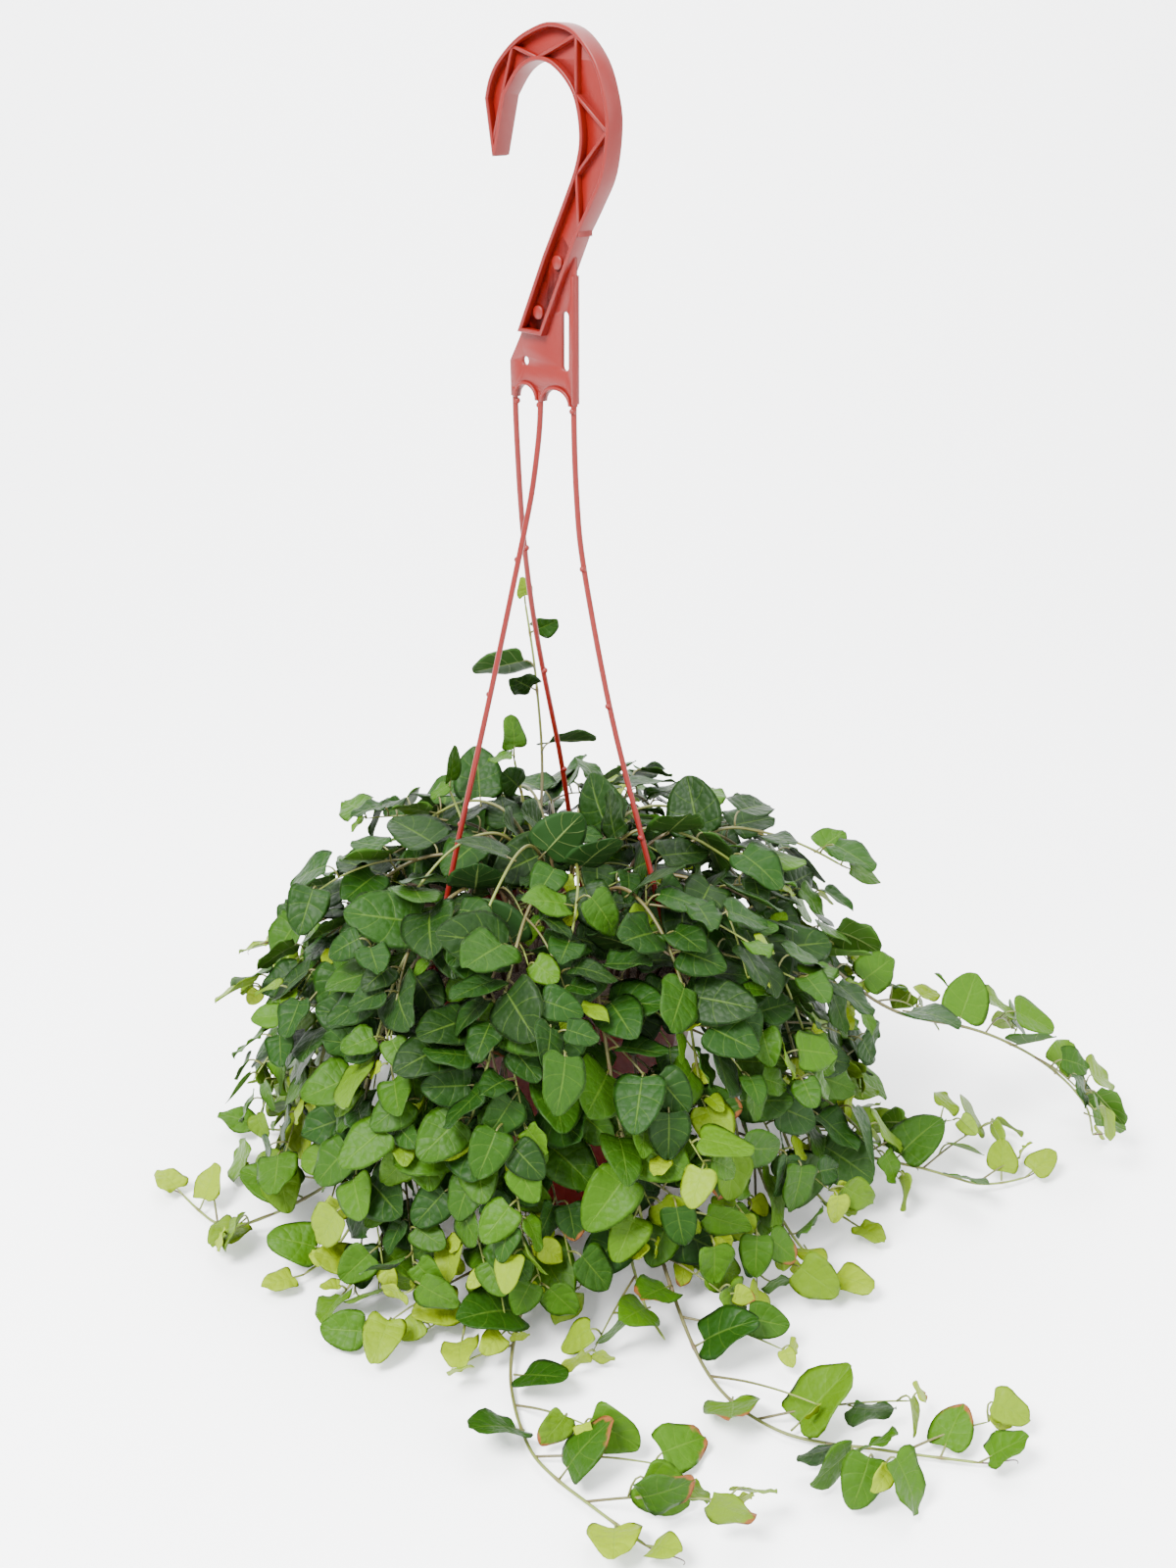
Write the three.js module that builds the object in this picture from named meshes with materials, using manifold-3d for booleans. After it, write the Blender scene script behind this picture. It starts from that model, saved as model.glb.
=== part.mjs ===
// Potted creeping fig: a plastic hanging pot that stands on a surface, with its moulded hanger,
// potting soil and leafy stems. Millimetres, +Z up. The origin is the middle of the pot's underside.
import * as THREE from 'three';
import { mergeVertices } from 'three/addons/utils/BufferGeometryUtils.js';
import Module from 'manifold-3d';

const wasm = await Module();
wasm.setup();

// Driving dimensions of the pot
const RIM_RADIUS = 75;
const POT_HEIGHT = 115;
const BASE_RADIUS = 51;
const WALL = 1.9;
const FLOOR = 3;
const RIM_SKIRT = 9;
const RIM_PLATE = 2.8;
const WIRE_HOLE_RADIUS = 1.6;
const WIRE_CIRCLE = 70;
const WIRE_AZIMUTHS = [83.5, 203.5, 323.5];
const DRAIN_CIRCLE = 30;
const DRAIN_RADIUS = 4.5;
const DRAIN_COUNT = 6;
const POT_SEGMENTS = 32;

// Driving dimensions of the soil
const SOIL_TOP = 102;
const SOIL_DOME = 2.5;
const GAP = 0.35;
const ROOT_DEPTH = 9;
const ROOT_HOLE = 2.6;

// Driving dimensions of the hanger, whose plate stands at 45 degrees to the X axis
const HANGER_TURN = 45;
const FLANGE_DEPTH = 8.7;
const FLANGE_WIDTH = 1.8;
const WEB = 1.9;
const RIB = 1.5;
const PLATE_FOOT = 381.5;
const WIRE_RADIUS = 1.15;
const KNOB_RADIUS = 2;
const KNOB_LENGTH = 4.2;

// Driving dimensions of the plant
const STEM_RADIUS = 1.3;
const STEM_TAPER = 0.3;
const STEP = 15;
const LEAF_LENGTH = 30;
const LEAF_HALF_WIDTH = 0.41;
const STALK = 5;
const BLADE = 0.8;
const STALK_HALF_WIDTH = 0.6;
const STALK_DEPTH = 0.7;
const STALK_RISE = 0.4;
const NECK = 0.6;
const LEAF_FOLD = 0.18;
const LEAF_ARCH = 0.1;
const LEAF_SHARES = [0.14, 0.38, 0.68];
const LEVEL_LIFT = 0.35;
const SAMPLE_SHARES = [0.1, 0.22, 0.34, 0.46, 0.58, 0.7, 0.82, 0.92];
const SAMPLE_SIDES = [-1, -0.66, -0.33, 0, 0.33, 0.66, 1];
const ROD_GAP = 6;
const TURNS = [0, 4, -4, 8, -8, 12, -12];
const LEAF_GAP = 4.6;
const STEM_GAP = 4.5;
const OWN_GAP = 2.6;
const CLEAR = 2.5;
const TRIES = 24;

const RAD = Math.PI / 180;
const PLASTIC = { color: 0xb8492f, roughness: 0.45, metalness: 0 };
const SOIL = { color: 0x33261c, roughness: 0.95, metalness: 0 };
const LEAF_TINTS = [0x2f5a33, 0x3d6e37, 0x5c8c3c, 0x86a84c];

const group = new THREE.Group();

// Solids
function solid(geometry) {
  geometry.deleteAttribute('normal');
  geometry.deleteAttribute('uv');
  const merged = mergeVertices(geometry, 1e-4);
  return new wasm.Manifold(new wasm.Mesh({
    numProp: 3,
    vertProperties: new Float32Array(merged.attributes.position.array),
    triVerts: new Uint32Array(merged.index.array),
  }));
}

function geometryOf(manifold) {
  const mesh = manifold.getMesh();
  const geometry = new THREE.BufferGeometry();
  geometry.setAttribute('position', new THREE.BufferAttribute(mesh.vertProperties, 3));
  geometry.setIndex(new THREE.BufferAttribute(mesh.triVerts, 1));
  geometry.computeVertexNormals();
  return geometry;
}

function addPiece(name, manifold, look) {
  const mesh = new THREE.Mesh(geometryOf(manifold), new THREE.MeshStandardMaterial(look));
  mesh.name = name;
  group.add(mesh);
}

function onCircle(radius, degrees, z) {
  return new THREE.Vector3(radius * Math.cos(degrees * RAD), radius * Math.sin(degrees * RAD), z);
}

function upright(radius, low, high, sides, centre) {
  const geometry = new THREE.CylinderGeometry(radius, radius, high - low, sides);
  geometry.rotateX(Math.PI / 2);
  geometry.translate(centre.x, centre.y, (low + high) / 2);
  return solid(geometry);
}

// Pot
const taper = (RIM_RADIUS - 7.6 - BASE_RADIUS) / POT_HEIGHT;
const outerRadius = (z) => BASE_RADIUS + taper * z;
const innerRadius = (z) => outerRadius(z) - WALL;

function turned(profile) {
  const geometry = new THREE.LatheGeometry(profile.map(([r, z]) => new THREE.Vector2(r, z)), POT_SEGMENTS);
  geometry.rotateX(Math.PI / 2);
  return solid(geometry);
}

function makePot() {
  const underside = POT_HEIGHT - RIM_PLATE;
  let pot = turned([
    [0, 0], [BASE_RADIUS - 1.5, 0], [outerRadius(1.5), 1.5], [outerRadius(underside), underside],
    [RIM_RADIUS - 2, underside], [RIM_RADIUS - 1.8, POT_HEIGHT - RIM_SKIRT],
    [RIM_RADIUS - 0.2, POT_HEIGHT - RIM_SKIRT], [RIM_RADIUS, POT_HEIGHT - 1.2],
    [RIM_RADIUS - 1.2, POT_HEIGHT], [innerRadius(POT_HEIGHT), POT_HEIGHT],
    [innerRadius(FLOOR), FLOOR], [0, FLOOR],
  ]);
  for (const azimuth of WIRE_AZIMUTHS) {
    const centre = onCircle(WIRE_CIRCLE, azimuth, 0);
    pot = pot.subtract(upright(WIRE_HOLE_RADIUS, underside - 1, POT_HEIGHT + 1, 8, centre));
  }
  for (let i = 0; i < DRAIN_COUNT; i++) {
    const centre = onCircle(DRAIN_CIRCLE, (i * 360) / DRAIN_COUNT, 0);
    pot = pot.subtract(upright(DRAIN_RADIUS, -1, FLOOR + 1, 10, centre));
  }
  addPiece('pot', pot, PLASTIC);
}

// Seeded random numbers
function randomsFrom(seed) {
  let state = (seed * 7919 + 104729) % 2147483647;
  const next = () => {
    state = (state * 48271) % 2147483647;
    return state / 2147483647;
  };
  next();
  next();
  return next;
}

// Hanger. Its plane holds u, level and away from the pot's left rear, and z. Points are [u, z].
const HOOK_OUTER = [
  [-37.6, 481.5], [-41.5, 504.5], [-38.8, 512], [-33.5, 519], [-23.6, 526.5], [-13.3, 531], [-1.5, 533.3],
  [12, 530], [23.5, 519.5], [29.5, 506], [31.2, 494], [28.4, 477], [21.4, 464.5], [13, 452], [-8.6, 410],
];
const HOOK_INNER = [
  [-23.7, 410.5], [-7.4, 443], [5.3, 465.7], [12.4, 480], [14.6, 492], [10.9, 506.5], [0.8, 516.1],
  [-9.9, 519], [-20.5, 515], [-29.2, 505.5], [-35.8, 482],
];
const POCKET_TIP = [-39.6, 487];
const HOOK_STEPS = 16;
const RIB_NODES = [
  [-37.5, 488], [-24.8, 524.5], [-9.9, 520], [12.4, 528.5],
  [12.2, 506.3], [29.6, 493], [12.3, 476.3], [14, 452],
];
const PLATE_EDGE = [
  [8.8, 443], [8.8, PLATE_FOOT], [5.2, PLATE_FOOT], 'arch',
  [-11.2, PLATE_FOOT], [-15.6, PLATE_FOOT], 'arch', [-28.2, PLATE_FOOT],
  [-32, PLATE_FOOT], [-32.2, 397], [-25.6, 408], [-21, 417], [-6, 446], [2, 452],
];
const ARCHES = [{ from: 5.2, to: -11.2 }, { from: -15.6, to: -28.2 }];
const ARCH_RISE = 6;
const ARCH_STEPS = 5;
const SLOT = { u: 2.8, low: 398, high: 419, radius: 1.95 };
const PEEP_HOLE = { u: -22.2, z: 397.8, radius: 1.9 };
const BOSSES = [[-1.1, 440.7], [-13, 419.2]];
const BOSS_RADIUS = 3;
const RAISED = 4;

// Each wire leaves the plate's foot at u. Its reach holds heights, each with the share of the way
// out to the wire's hole that it has covered there.
const WIRES = [
  { u: -30, reach: [[330, 0.06], [290, 0.17], [252, 0.34], [198, 0.63], [156, 0.81], [132, 0.935]] },
  { u: -13.4, reach: [[345, 0.07], [313, 0.19], [250, 0.445], [190, 0.7], [140, 0.9], [126, 0.975]] },
  { u: 7, reach: [[345, 0.02], [312, 0.08], [247, 0.316], [187, 0.611], [135, 0.875], [126, 0.95]] },
];

const turn = HANGER_TURN * RAD;
const hangerPlane = new THREE.Matrix4().makeBasis(
  new THREE.Vector3(Math.cos(turn), -Math.sin(turn), 0),
  new THREE.Vector3(0, 0, 1),
  new THREE.Vector3(-Math.sin(turn), -Math.cos(turn), 0),
);

function flat(points) {
  return points.map(([u, z]) => new THREE.Vector2(u, z));
}

function smooth(points, count) {
  return new THREE.SplineCurve(flat(points)).getPoints(count);
}

function slab(outline, depth, centre = 0, holes = []) {
  const shape = new THREE.Shape(outline);
  shape.holes = holes.map((points) => new THREE.Path(points));
  const geometry = new THREE.ExtrudeGeometry(shape, { depth, bevelEnabled: false, curveSegments: 8 });
  geometry.translate(0, 0, centre - depth / 2);
  geometry.applyMatrix4(hangerPlane);
  return solid(geometry);
}

function inset(outline, distance) {
  const sign = THREE.ShapeUtils.isClockWise(outline) ? -1 : 1;
  return outline.map((point, i) => {
    const before = point.clone().sub(outline.at(i - 1)).normalize();
    const after = outline[(i + 1) % outline.length].clone().sub(point).normalize();
    const sum = new THREE.Vector2(-before.y - after.y, before.x + after.x);
    const reach = (sign * distance) / (1 + before.dot(after));
    return point.clone().addScaledVector(sum, reach);
  });
}

function bar([u0, z0], [u1, z1], width, depth) {
  const along = new THREE.Vector2(u1 - u0, z1 - z0).normalize().multiplyScalar(width / 2);
  const corners = [
    [u0 - along.y, z0 + along.x], [u0 + along.y, z0 - along.x],
    [u1 + along.y, z1 - along.x], [u1 - along.y, z1 + along.x],
  ];
  return slab(flat(corners), depth);
}

function archPoints({ from, to }, grow = 0) {
  const middle = (from + to) / 2;
  const half = (from - to) / 2 + grow;
  const points = [];
  for (let i = 0; i <= ARCH_STEPS; i++) {
    const angle = (i / ARCH_STEPS) * Math.PI;
    const z = PLATE_FOOT + (ARCH_RISE + grow) * Math.sin(angle);
    points.push(new THREE.Vector2(middle + half * Math.cos(angle), z));
  }
  return points;
}

function ring(u, z, radius, count) {
  const points = [];
  for (let i = 0; i < count; i++) {
    const angle = (i / count) * 2 * Math.PI;
    points.push(new THREE.Vector2(u + radius * Math.cos(angle), z + radius * Math.sin(angle)));
  }
  return points;
}

function slotOutline() {
  const points = ring(SLOT.u, SLOT.low, SLOT.radius, 8);
  return points.map((p) => new THREE.Vector2(p.x, p.y > SLOT.low ? p.y + SLOT.high - SLOT.low : p.y));
}

function makePlate() {
  const arches = [...ARCHES];
  const edge = PLATE_EDGE.flatMap(
    (point) => (point === 'arch' ? archPoints(arches.shift()).slice(1, -1) : flat([point])));
  const hole = ring(PEEP_HOLE.u, PEEP_HOLE.z, PEEP_HOLE.radius, 8);
  let plate = slab(edge, WEB, 0, [slotOutline(), hole]);
  plate = plate.add(bar([8, 436], [8, PLATE_FOOT + 1], RIB, RAISED));
  for (const arch of ARCHES) {
    const rim = slab([...archPoints(arch, RIB), ...archPoints(arch).reverse()], RAISED);
    plate = plate.add(rim);
  }
  for (const [u, z] of BOSSES) {
    plate = plate.add(slab(ring(u, z, BOSS_RADIUS, 7), RAISED));
  }
  return plate;
}

function makeHook() {
  const outer = smooth(HOOK_OUTER.slice(1, -1), HOOK_STEPS);
  const inner = smooth(HOOK_INNER.slice(1, -1), HOOK_STEPS - 5);
  const outline = [
    ...flat(HOOK_OUTER.slice(0, 1)), ...outer, ...flat(HOOK_OUTER.slice(-1)),
    ...flat(HOOK_INNER.slice(0, 1)), ...inner, ...flat(HOOK_INNER.slice(-1)),
  ];
  let hook = slab(outline, FLANGE_DEPTH);
  const field = [...outer, ...flat([HOOK_OUTER.at(-1), HOOK_INNER[0]]), ...inner, ...flat([POCKET_TIP])];
  const pocket = inset(field, FLANGE_WIDTH);
  const pocketDepth = (FLANGE_DEPTH - WEB) / 2 + 1;
  for (const side of [-1, 1]) {
    hook = hook.subtract(slab(pocket, pocketDepth, (side * (WEB + pocketDepth)) / 2));
  }
  for (let i = 1; i < RIB_NODES.length; i++) {
    hook = hook.add(bar(RIB_NODES[i - 1], RIB_NODES[i], RIB, FLANGE_DEPTH - 1));
  }
  return hook;
}

function wirePath(wire, azimuth) {
  const start = new THREE.Vector3(wire.u, 0, 0).applyMatrix4(hangerPlane);
  const end = onCircle(WIRE_CIRCLE, azimuth, 0);
  const at = (z, share) => start.clone().lerp(end, share).setZ(z);
  return evenPath([
    at(PLATE_FOOT + 4, 0), at(PLATE_FOOT - 4, 0), ...wire.reach.map(([z, share]) => at(z, share)),
    at(POT_HEIGHT + 2.5, 1),
  ]);
}

function disc(radius, sides) {
  return new THREE.Shape(ring(0, 0, radius, sides));
}

function tube(points, radius, sides) {
  const extrudePath = new THREE.CatmullRomCurve3(points, false, 'centripetal');
  const steps = points.length - 1;
  return solid(new THREE.ExtrudeGeometry(disc(radius, sides), { steps, bevelEnabled: false, extrudePath }));
}

function makeHanger() {
  let hanger = makeHook().add(makePlate());
  WIRES.forEach((wire, i) => {
    const points = wirePath(wire, WIRE_AZIMUTHS[i]);
    hanger = hanger.add(tube(points, WIRE_RADIUS, 6));
    const knobTop = POT_HEIGHT - RIM_PLATE - GAP;
    const foot = points.at(-1);
    hanger = hanger.add(upright(WIRE_RADIUS, knobTop - 1, foot.z + 1, 6, foot));
    hanger = hanger.add(upright(KNOB_RADIUS, knobTop - KNOB_LENGTH, knobTop, 8, foot));
  });
  addPiece('hanger', hanger, PLASTIC);
}

// Plant routes. Each ring of stems follows [radius, height] points, turned to each stem's azimuth.
const RINGS = [
  {
    kind: 'skirt', count: 13, first: 12, root: 52, size: 1, spread: 5,
    route: [
      [57, 116], [66, 126], [80, 125], [93, 107], [103, 83], [113, 55], [127, 26], [145, 8], [157, 5],
    ],
  },
  {
    kind: 'side', count: 13, first: 3, root: 38, size: 1.05, spread: 5,
    route: [[42, 124], [56, 145], [78, 148], [98, 134], [112, 110], [121, 86], [128, 62], [133, 42]],
  },
  {
    kind: 'shoulder', count: 9, first: 20, root: 24, size: 1.05, spread: 7,
    route: [[27, 136], [38, 160], [60, 169], [84, 160], [103, 141], [115, 117], [122, 97]],
  },
  {
    kind: 'crown', count: 9, first: 34, root: 10, size: 1, spread: 9,
    route: [[13, 140], [20, 168], [38, 184], [62, 180], [84, 165]],
  },
];

// Stems that stand out from the mound, each by its root's azimuth and ring and its own points
const SHOOTS = [
  {
    name: 'upright_tall', root: [17, 150], size: 0.6,
    points: [[-14, 30, 150], [-12, 56, 190], [-15, 60, 238], [-19.5, 60, 274]],
  },
  { name: 'upright_pale', root: [17, 100], points: [[-12, 24, 150], [-20, 28, 180], [-25, 30, 205]] },
  { name: 'upright_left', root: [31, 190], points: [[-34, 4, 140], [-47, 12, 172], [-56, 20, 192]] },
  {
    name: 'upright_right', root: [31, 352],
    points: [[40, 0, 150], [72, 8, 176], [108, 16, 168], [136, 20, 152]],
  },
  {
    name: 'far_right', root: [45, 350],
    points: [
      [70, -10, 142], [118, -6, 118], [162, 0, 82], [206, 0, 70], [240, 0, 52], [264, 0, 28], [271, 0, 8],
    ],
  },
  { name: 'far_left', root: [45, 172], points: [[-72, 12, 142], [-108, 20, 128], [-147, 30, 104]] },
];

// Skirt stems that run on along the surface, by the azimuth of their root
const RUNNERS = [
  {
    name: 'front_runner', azimuth: -96,
    points: [[-22, -168, 4], [-12, -215, 3], [8, -240, 3], [33, -264, 3]],
  },
  {
    name: 'front_right_runner', azimuth: -70,
    points: [[62, -172, 4], [90, -205, 3], [129, -215, 3], [167, -222, 3]],
  },
  { name: 'right_runner', azimuth: -14, points: [[178, -42, 16], [206, -40, 6], [230, -30, 3]] },
  { name: 'left_runner', azimuth: -150, points: [[-158, -72, 5], [-188, -46, 4]] },
];

const UP = new THREE.Vector3(0, 0, 1);
const soilHeight = (radius) => SOIL_TOP + SOIL_DOME * (1 - radius / innerRadius(SOIL_TOP));

function ringStem(ring, index, shift) {
  const random = randomsFrom(RINGS.indexOf(ring) * 100 + index + 1);
  const azimuth = ring.first + (360 * index) / ring.count + (random() - 0.5) * 6 + shift;
  const drift = (random() - 0.5) * 2 * ring.spread;
  const push = (random() - 0.5) * 9;
  const raise = (random() - 0.5) * 9;
  const last = ring.route.length - 1;
  const points = ring.route.map(([radius, z], i) => {
    const share = i / last;
    const wave = 2.5 * Math.sin(4 * share + index);
    const height = Math.max(4, z + raise * Math.sin(Math.PI * share));
    return onCircle(radius + push * share, azimuth + drift * share + wave * share, height);
  });
  const root = onCircle(ring.root, azimuth, 0);
  return { name: `${ring.kind}_${index + 1}`, root, points, size: ring.size };
}

function runner({ name, azimuth, points }) {
  const skirt = RINGS[0];
  const start = skirt.route.slice(0, -2).map(([radius, z]) => onCircle(radius, azimuth, z));
  const rest = points.map((p) => new THREE.Vector3(...p));
  return { name, root: onCircle(skirt.root, azimuth, 0), points: [...start, ...rest], size: 0.95 };
}

function shoot({ name, root, points, size = 0.9 }) {
  const [radius, azimuth] = root;
  return {
    name, root: onCircle(radius, azimuth, 0), points: points.map((p) => new THREE.Vector3(...p)), size,
  };
}

function withPath(stem) {
  stem.root.z = soilHeight(Math.hypot(stem.root.x, stem.root.y));
  stem.path = evenPath([stem.root.clone().setZ(stem.root.z + 3), ...stem.points]);
  return stem;
}

function alongRods({ path }) {
  const points = [];
  for (let k = 2; k < path.length; k += 2) {
    for (let j = 0; j < 6; j++) {
      points.push(path[k - 2].clone().lerp(path[k], j / 6));
    }
  }
  return [...points, path.at(-1)];
}

// Ring stems turn aside, a little at a time, from any wire or stem in their way
function planStems() {
  const stems = [...RUNNERS.map(runner), ...SHOOTS.map(shoot)].map(withPath);
  for (const ring of RINGS) {
    for (let index = 0; index < ring.count; index++) {
      const tries = TURNS.map((shift) => withPath(ringStem(ring, index, shift)));
      const rods = rodsOf(stems);
      const free = tries.find((stem) => alongRods(stem).every(
        (point) => rods.every((rod) => distanceToRod(point, rod) > ROD_GAP)));
      if (free) {
        stems.push(free);
      }
    }
  }
  stems.forEach((stem, i) => {
    stem.index = i;
  });
  return stems;
}

// A smooth curve through the points, cut into an even number of equal steps of about STEP
function evenPath(points) {
  const fine = [];
  for (let i = 0; i < points.length - 1; i++) {
    const span = [points[Math.max(i - 1, 0)], points[i], points[i + 1], points[i + 2] ?? points[i + 1]];
    for (let j = 0; j < 10; j++) {
      const t = j / 10;
      const mixed = (axis) => {
        const [p, q, r, s] = span.map((point) => point[axis]);
        return 0.5 * (2 * q + (r - p) * t + (2 * p - 5 * q + 4 * r - s) * t * t
          + (3 * q - p - 3 * r + s) * t * t * t);
      };
      fine.push(new THREE.Vector3(mixed('x'), mixed('y'), mixed('z')));
    }
  }
  fine.push(points.at(-1).clone());
  const along = [0];
  for (let i = 1; i < fine.length; i++) {
    along.push(along[i - 1] + fine[i].distanceTo(fine[i - 1]));
  }
  const count = 2 * Math.max(1, Math.round(along.at(-1) / (2 * STEP)));
  const even = [];
  let i = 1;
  for (let k = 0; k <= count; k++) {
    const want = (along.at(-1) * k) / count;
    while (i < fine.length - 1 && along[i] < want) {
      i++;
    }
    even.push(fine[i - 1].clone().lerp(fine[i], (want - along[i - 1]) / (along[i] - along[i - 1])));
  }
  return even;
}

// Leaf outline. Share 0 is the notch at the stalk, and share 1 the tip.
function leafEdge(share, length) {
  const angle = Math.PI * share;
  const sine = Math.sin(angle);
  const x = length * ((1 - Math.cos(angle)) / 2 - 0.3 * sine * (1 - share) ** 2);
  const fullness = Math.max(sine, 0) ** (0.7 + 0.5 * share) * (1 + 0.3 * Math.cos(angle));
  return [x, LEAF_HALF_WIDTH * length * fullness];
}

function leafPoint(leaf, x, y, lift = 0) {
  const height = LEAF_FOLD * Math.abs(y) - (LEAF_ARCH * x * x) / leaf.length + lift;
  return leaf.base.clone().addScaledVector(leaf.along, x + STALK).addScaledVector(leaf.across, y)
    .addScaledVector(leaf.normal, height);
}

// The stem's direction at step k, and the direction square to it on the upper side of its arch
function outwardAt(path, k) {
  const { x, y } = path[k];
  const along = path[Math.min(k + 1, path.length - 1)].clone().sub(path[Math.max(k - 1, 0)]).normalize();
  const radial = new THREE.Vector3(x, y, 0).divideScalar(Math.hypot(x, y) + 1);
  const outward = radial.clone().multiplyScalar(-along.z)
    .addScaledVector(UP, LEVEL_LIFT + Math.abs(along.dot(radial)));
  return [along, outward.addScaledVector(along, -outward.dot(along)).normalize()];
}

// A leaf on step k of a stem, turned to its side, lifted off the stem and rolled by its random draws
function leafOn(stem, k, random) {
  const { path, size } = stem;
  const last = k === path.length - 1;
  const base = last ? path[k].clone() : path[k - 1].clone().lerp(path[k + 1], 0.5);
  const [along, outward] = outwardAt(path, k);
  const sideways = outward.clone().cross(along);
  const side = k % 4 < 2 ? 1 : -1;
  const angle = last ? (random() - 0.5) * 0.5 : (0.75 + 0.65 * random()) * side;
  const lift = (last ? 0.1 : 0.3) + 0.6 * random();
  const roll = (random() - 0.5) * 0.7;
  const fade = 0.62 + 0.38 * Math.min(1, (path.length - 1 - k) / 4);
  const length = LEAF_LENGTH * size * fade * (0.82 + 0.3 * random());
  const level = along.clone().multiplyScalar(Math.cos(angle)).addScaledVector(sideways, Math.sin(angle));
  const forward = level.clone().multiplyScalar(Math.cos(lift)).addScaledVector(outward, Math.sin(lift));
  const normal = outward.clone().multiplyScalar(Math.cos(lift)).addScaledVector(level, -Math.sin(lift));
  normal.applyAxisAngle(forward, roll);
  return { base, along: forward, normal, across: normal.clone().cross(forward), length, k, side };
}

// Points all over a leaf, of which the first lies on its stalk
function leafSamples(leaf) {
  const samples = [leafPoint(leaf, -STALK / 2, 0), leafPoint(leaf, leaf.length, 0)];
  for (const share of SAMPLE_SHARES) {
    const [x, y] = leafEdge(share, leaf.length);
    const middle = share * leaf.length;
    for (const side of SAMPLE_SIDES) {
      samples.push(leafPoint(leaf, middle + Math.abs(side) * (x - middle), side * y));
    }
  }
  return samples;
}

function inPotOrSoil(point) {
  const radius = Math.hypot(point.x, point.y);
  if (point.z > POT_HEIGHT + CLEAR || radius > RIM_RADIUS + CLEAR) {
    return false;
  }
  if (point.z > soilHeight(0) + CLEAR && radius < innerRadius(POT_HEIGHT) - CLEAR) {
    return false;
  }
  return point.z > POT_HEIGHT - RIM_SKIRT - CLEAR || radius < outerRadius(point.z) + CLEAR;
}

// The rods that leaves keep clear of: every stem and every wire
function rodsOf(stems) {
  const rods = [];
  const addRods = (points, owner) => {
    for (let i = 1; i < points.length; i++) {
      rods.push({ from: points[i - 1], to: points[i], owner });
    }
  };
  stems.forEach((stem) => addRods(stem.path.filter((_, k) => k % 2 === 0), stem.index));
  WIRES.forEach((wire, i) => addRods(wirePath(wire, WIRE_AZIMUTHS[i]), -1));
  return rods;
}

function distanceToRod(point, { from, to }) {
  const way = to.clone().sub(from);
  const share = Math.min(1, Math.max(0, point.clone().sub(from).dot(way) / way.lengthSq()));
  return from.clone().addScaledVector(way, share).distanceTo(point);
}

function isClear(samples, stem, leaf, rods, taken) {
  if (samples.some((point) => point.z < CLEAR || inPotOrSoil(point))) {
    return false;
  }
  const middle = leafPoint(leaf, leaf.length / 2, 0);
  const crosses = rods.some((rod) => {
    const own = rod.owner === stem.index;
    const gap = own ? OWN_GAP : STEM_GAP;
    const tested = own ? samples.slice(1) : samples;
    return distanceToRod(middle, rod) < leaf.length
      && tested.some((point) => distanceToRod(point, rod) < gap);
  });
  const near = taken.filter((point) => point.distanceTo(middle) < leaf.length);
  return !crosses && !near.some((other) => samples.some((point) => point.distanceTo(other) < LEAF_GAP));
}

function growLeaves(stems) {
  const rods = rodsOf(stems);
  const taken = [];
  for (const stem of stems) {
    const last = stem.path.length - 1;
    stem.leaves = [];
    for (let k = 3; k <= last; k += k === last - 1 ? 1 : 2) {
      const random = randomsFrom(stem.index * 1000 + k);
      for (let attempt = 0; attempt < TRIES; attempt++) {
        const leaf = leafOn(stem, k, random);
        const samples = leafSamples(leaf);
        if (isClear(samples, stem, leaf, rods, taken)) {
          stem.leaves.push(leaf);
          taken.push(...samples);
          break;
        }
      }
    }
  }
}

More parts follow.
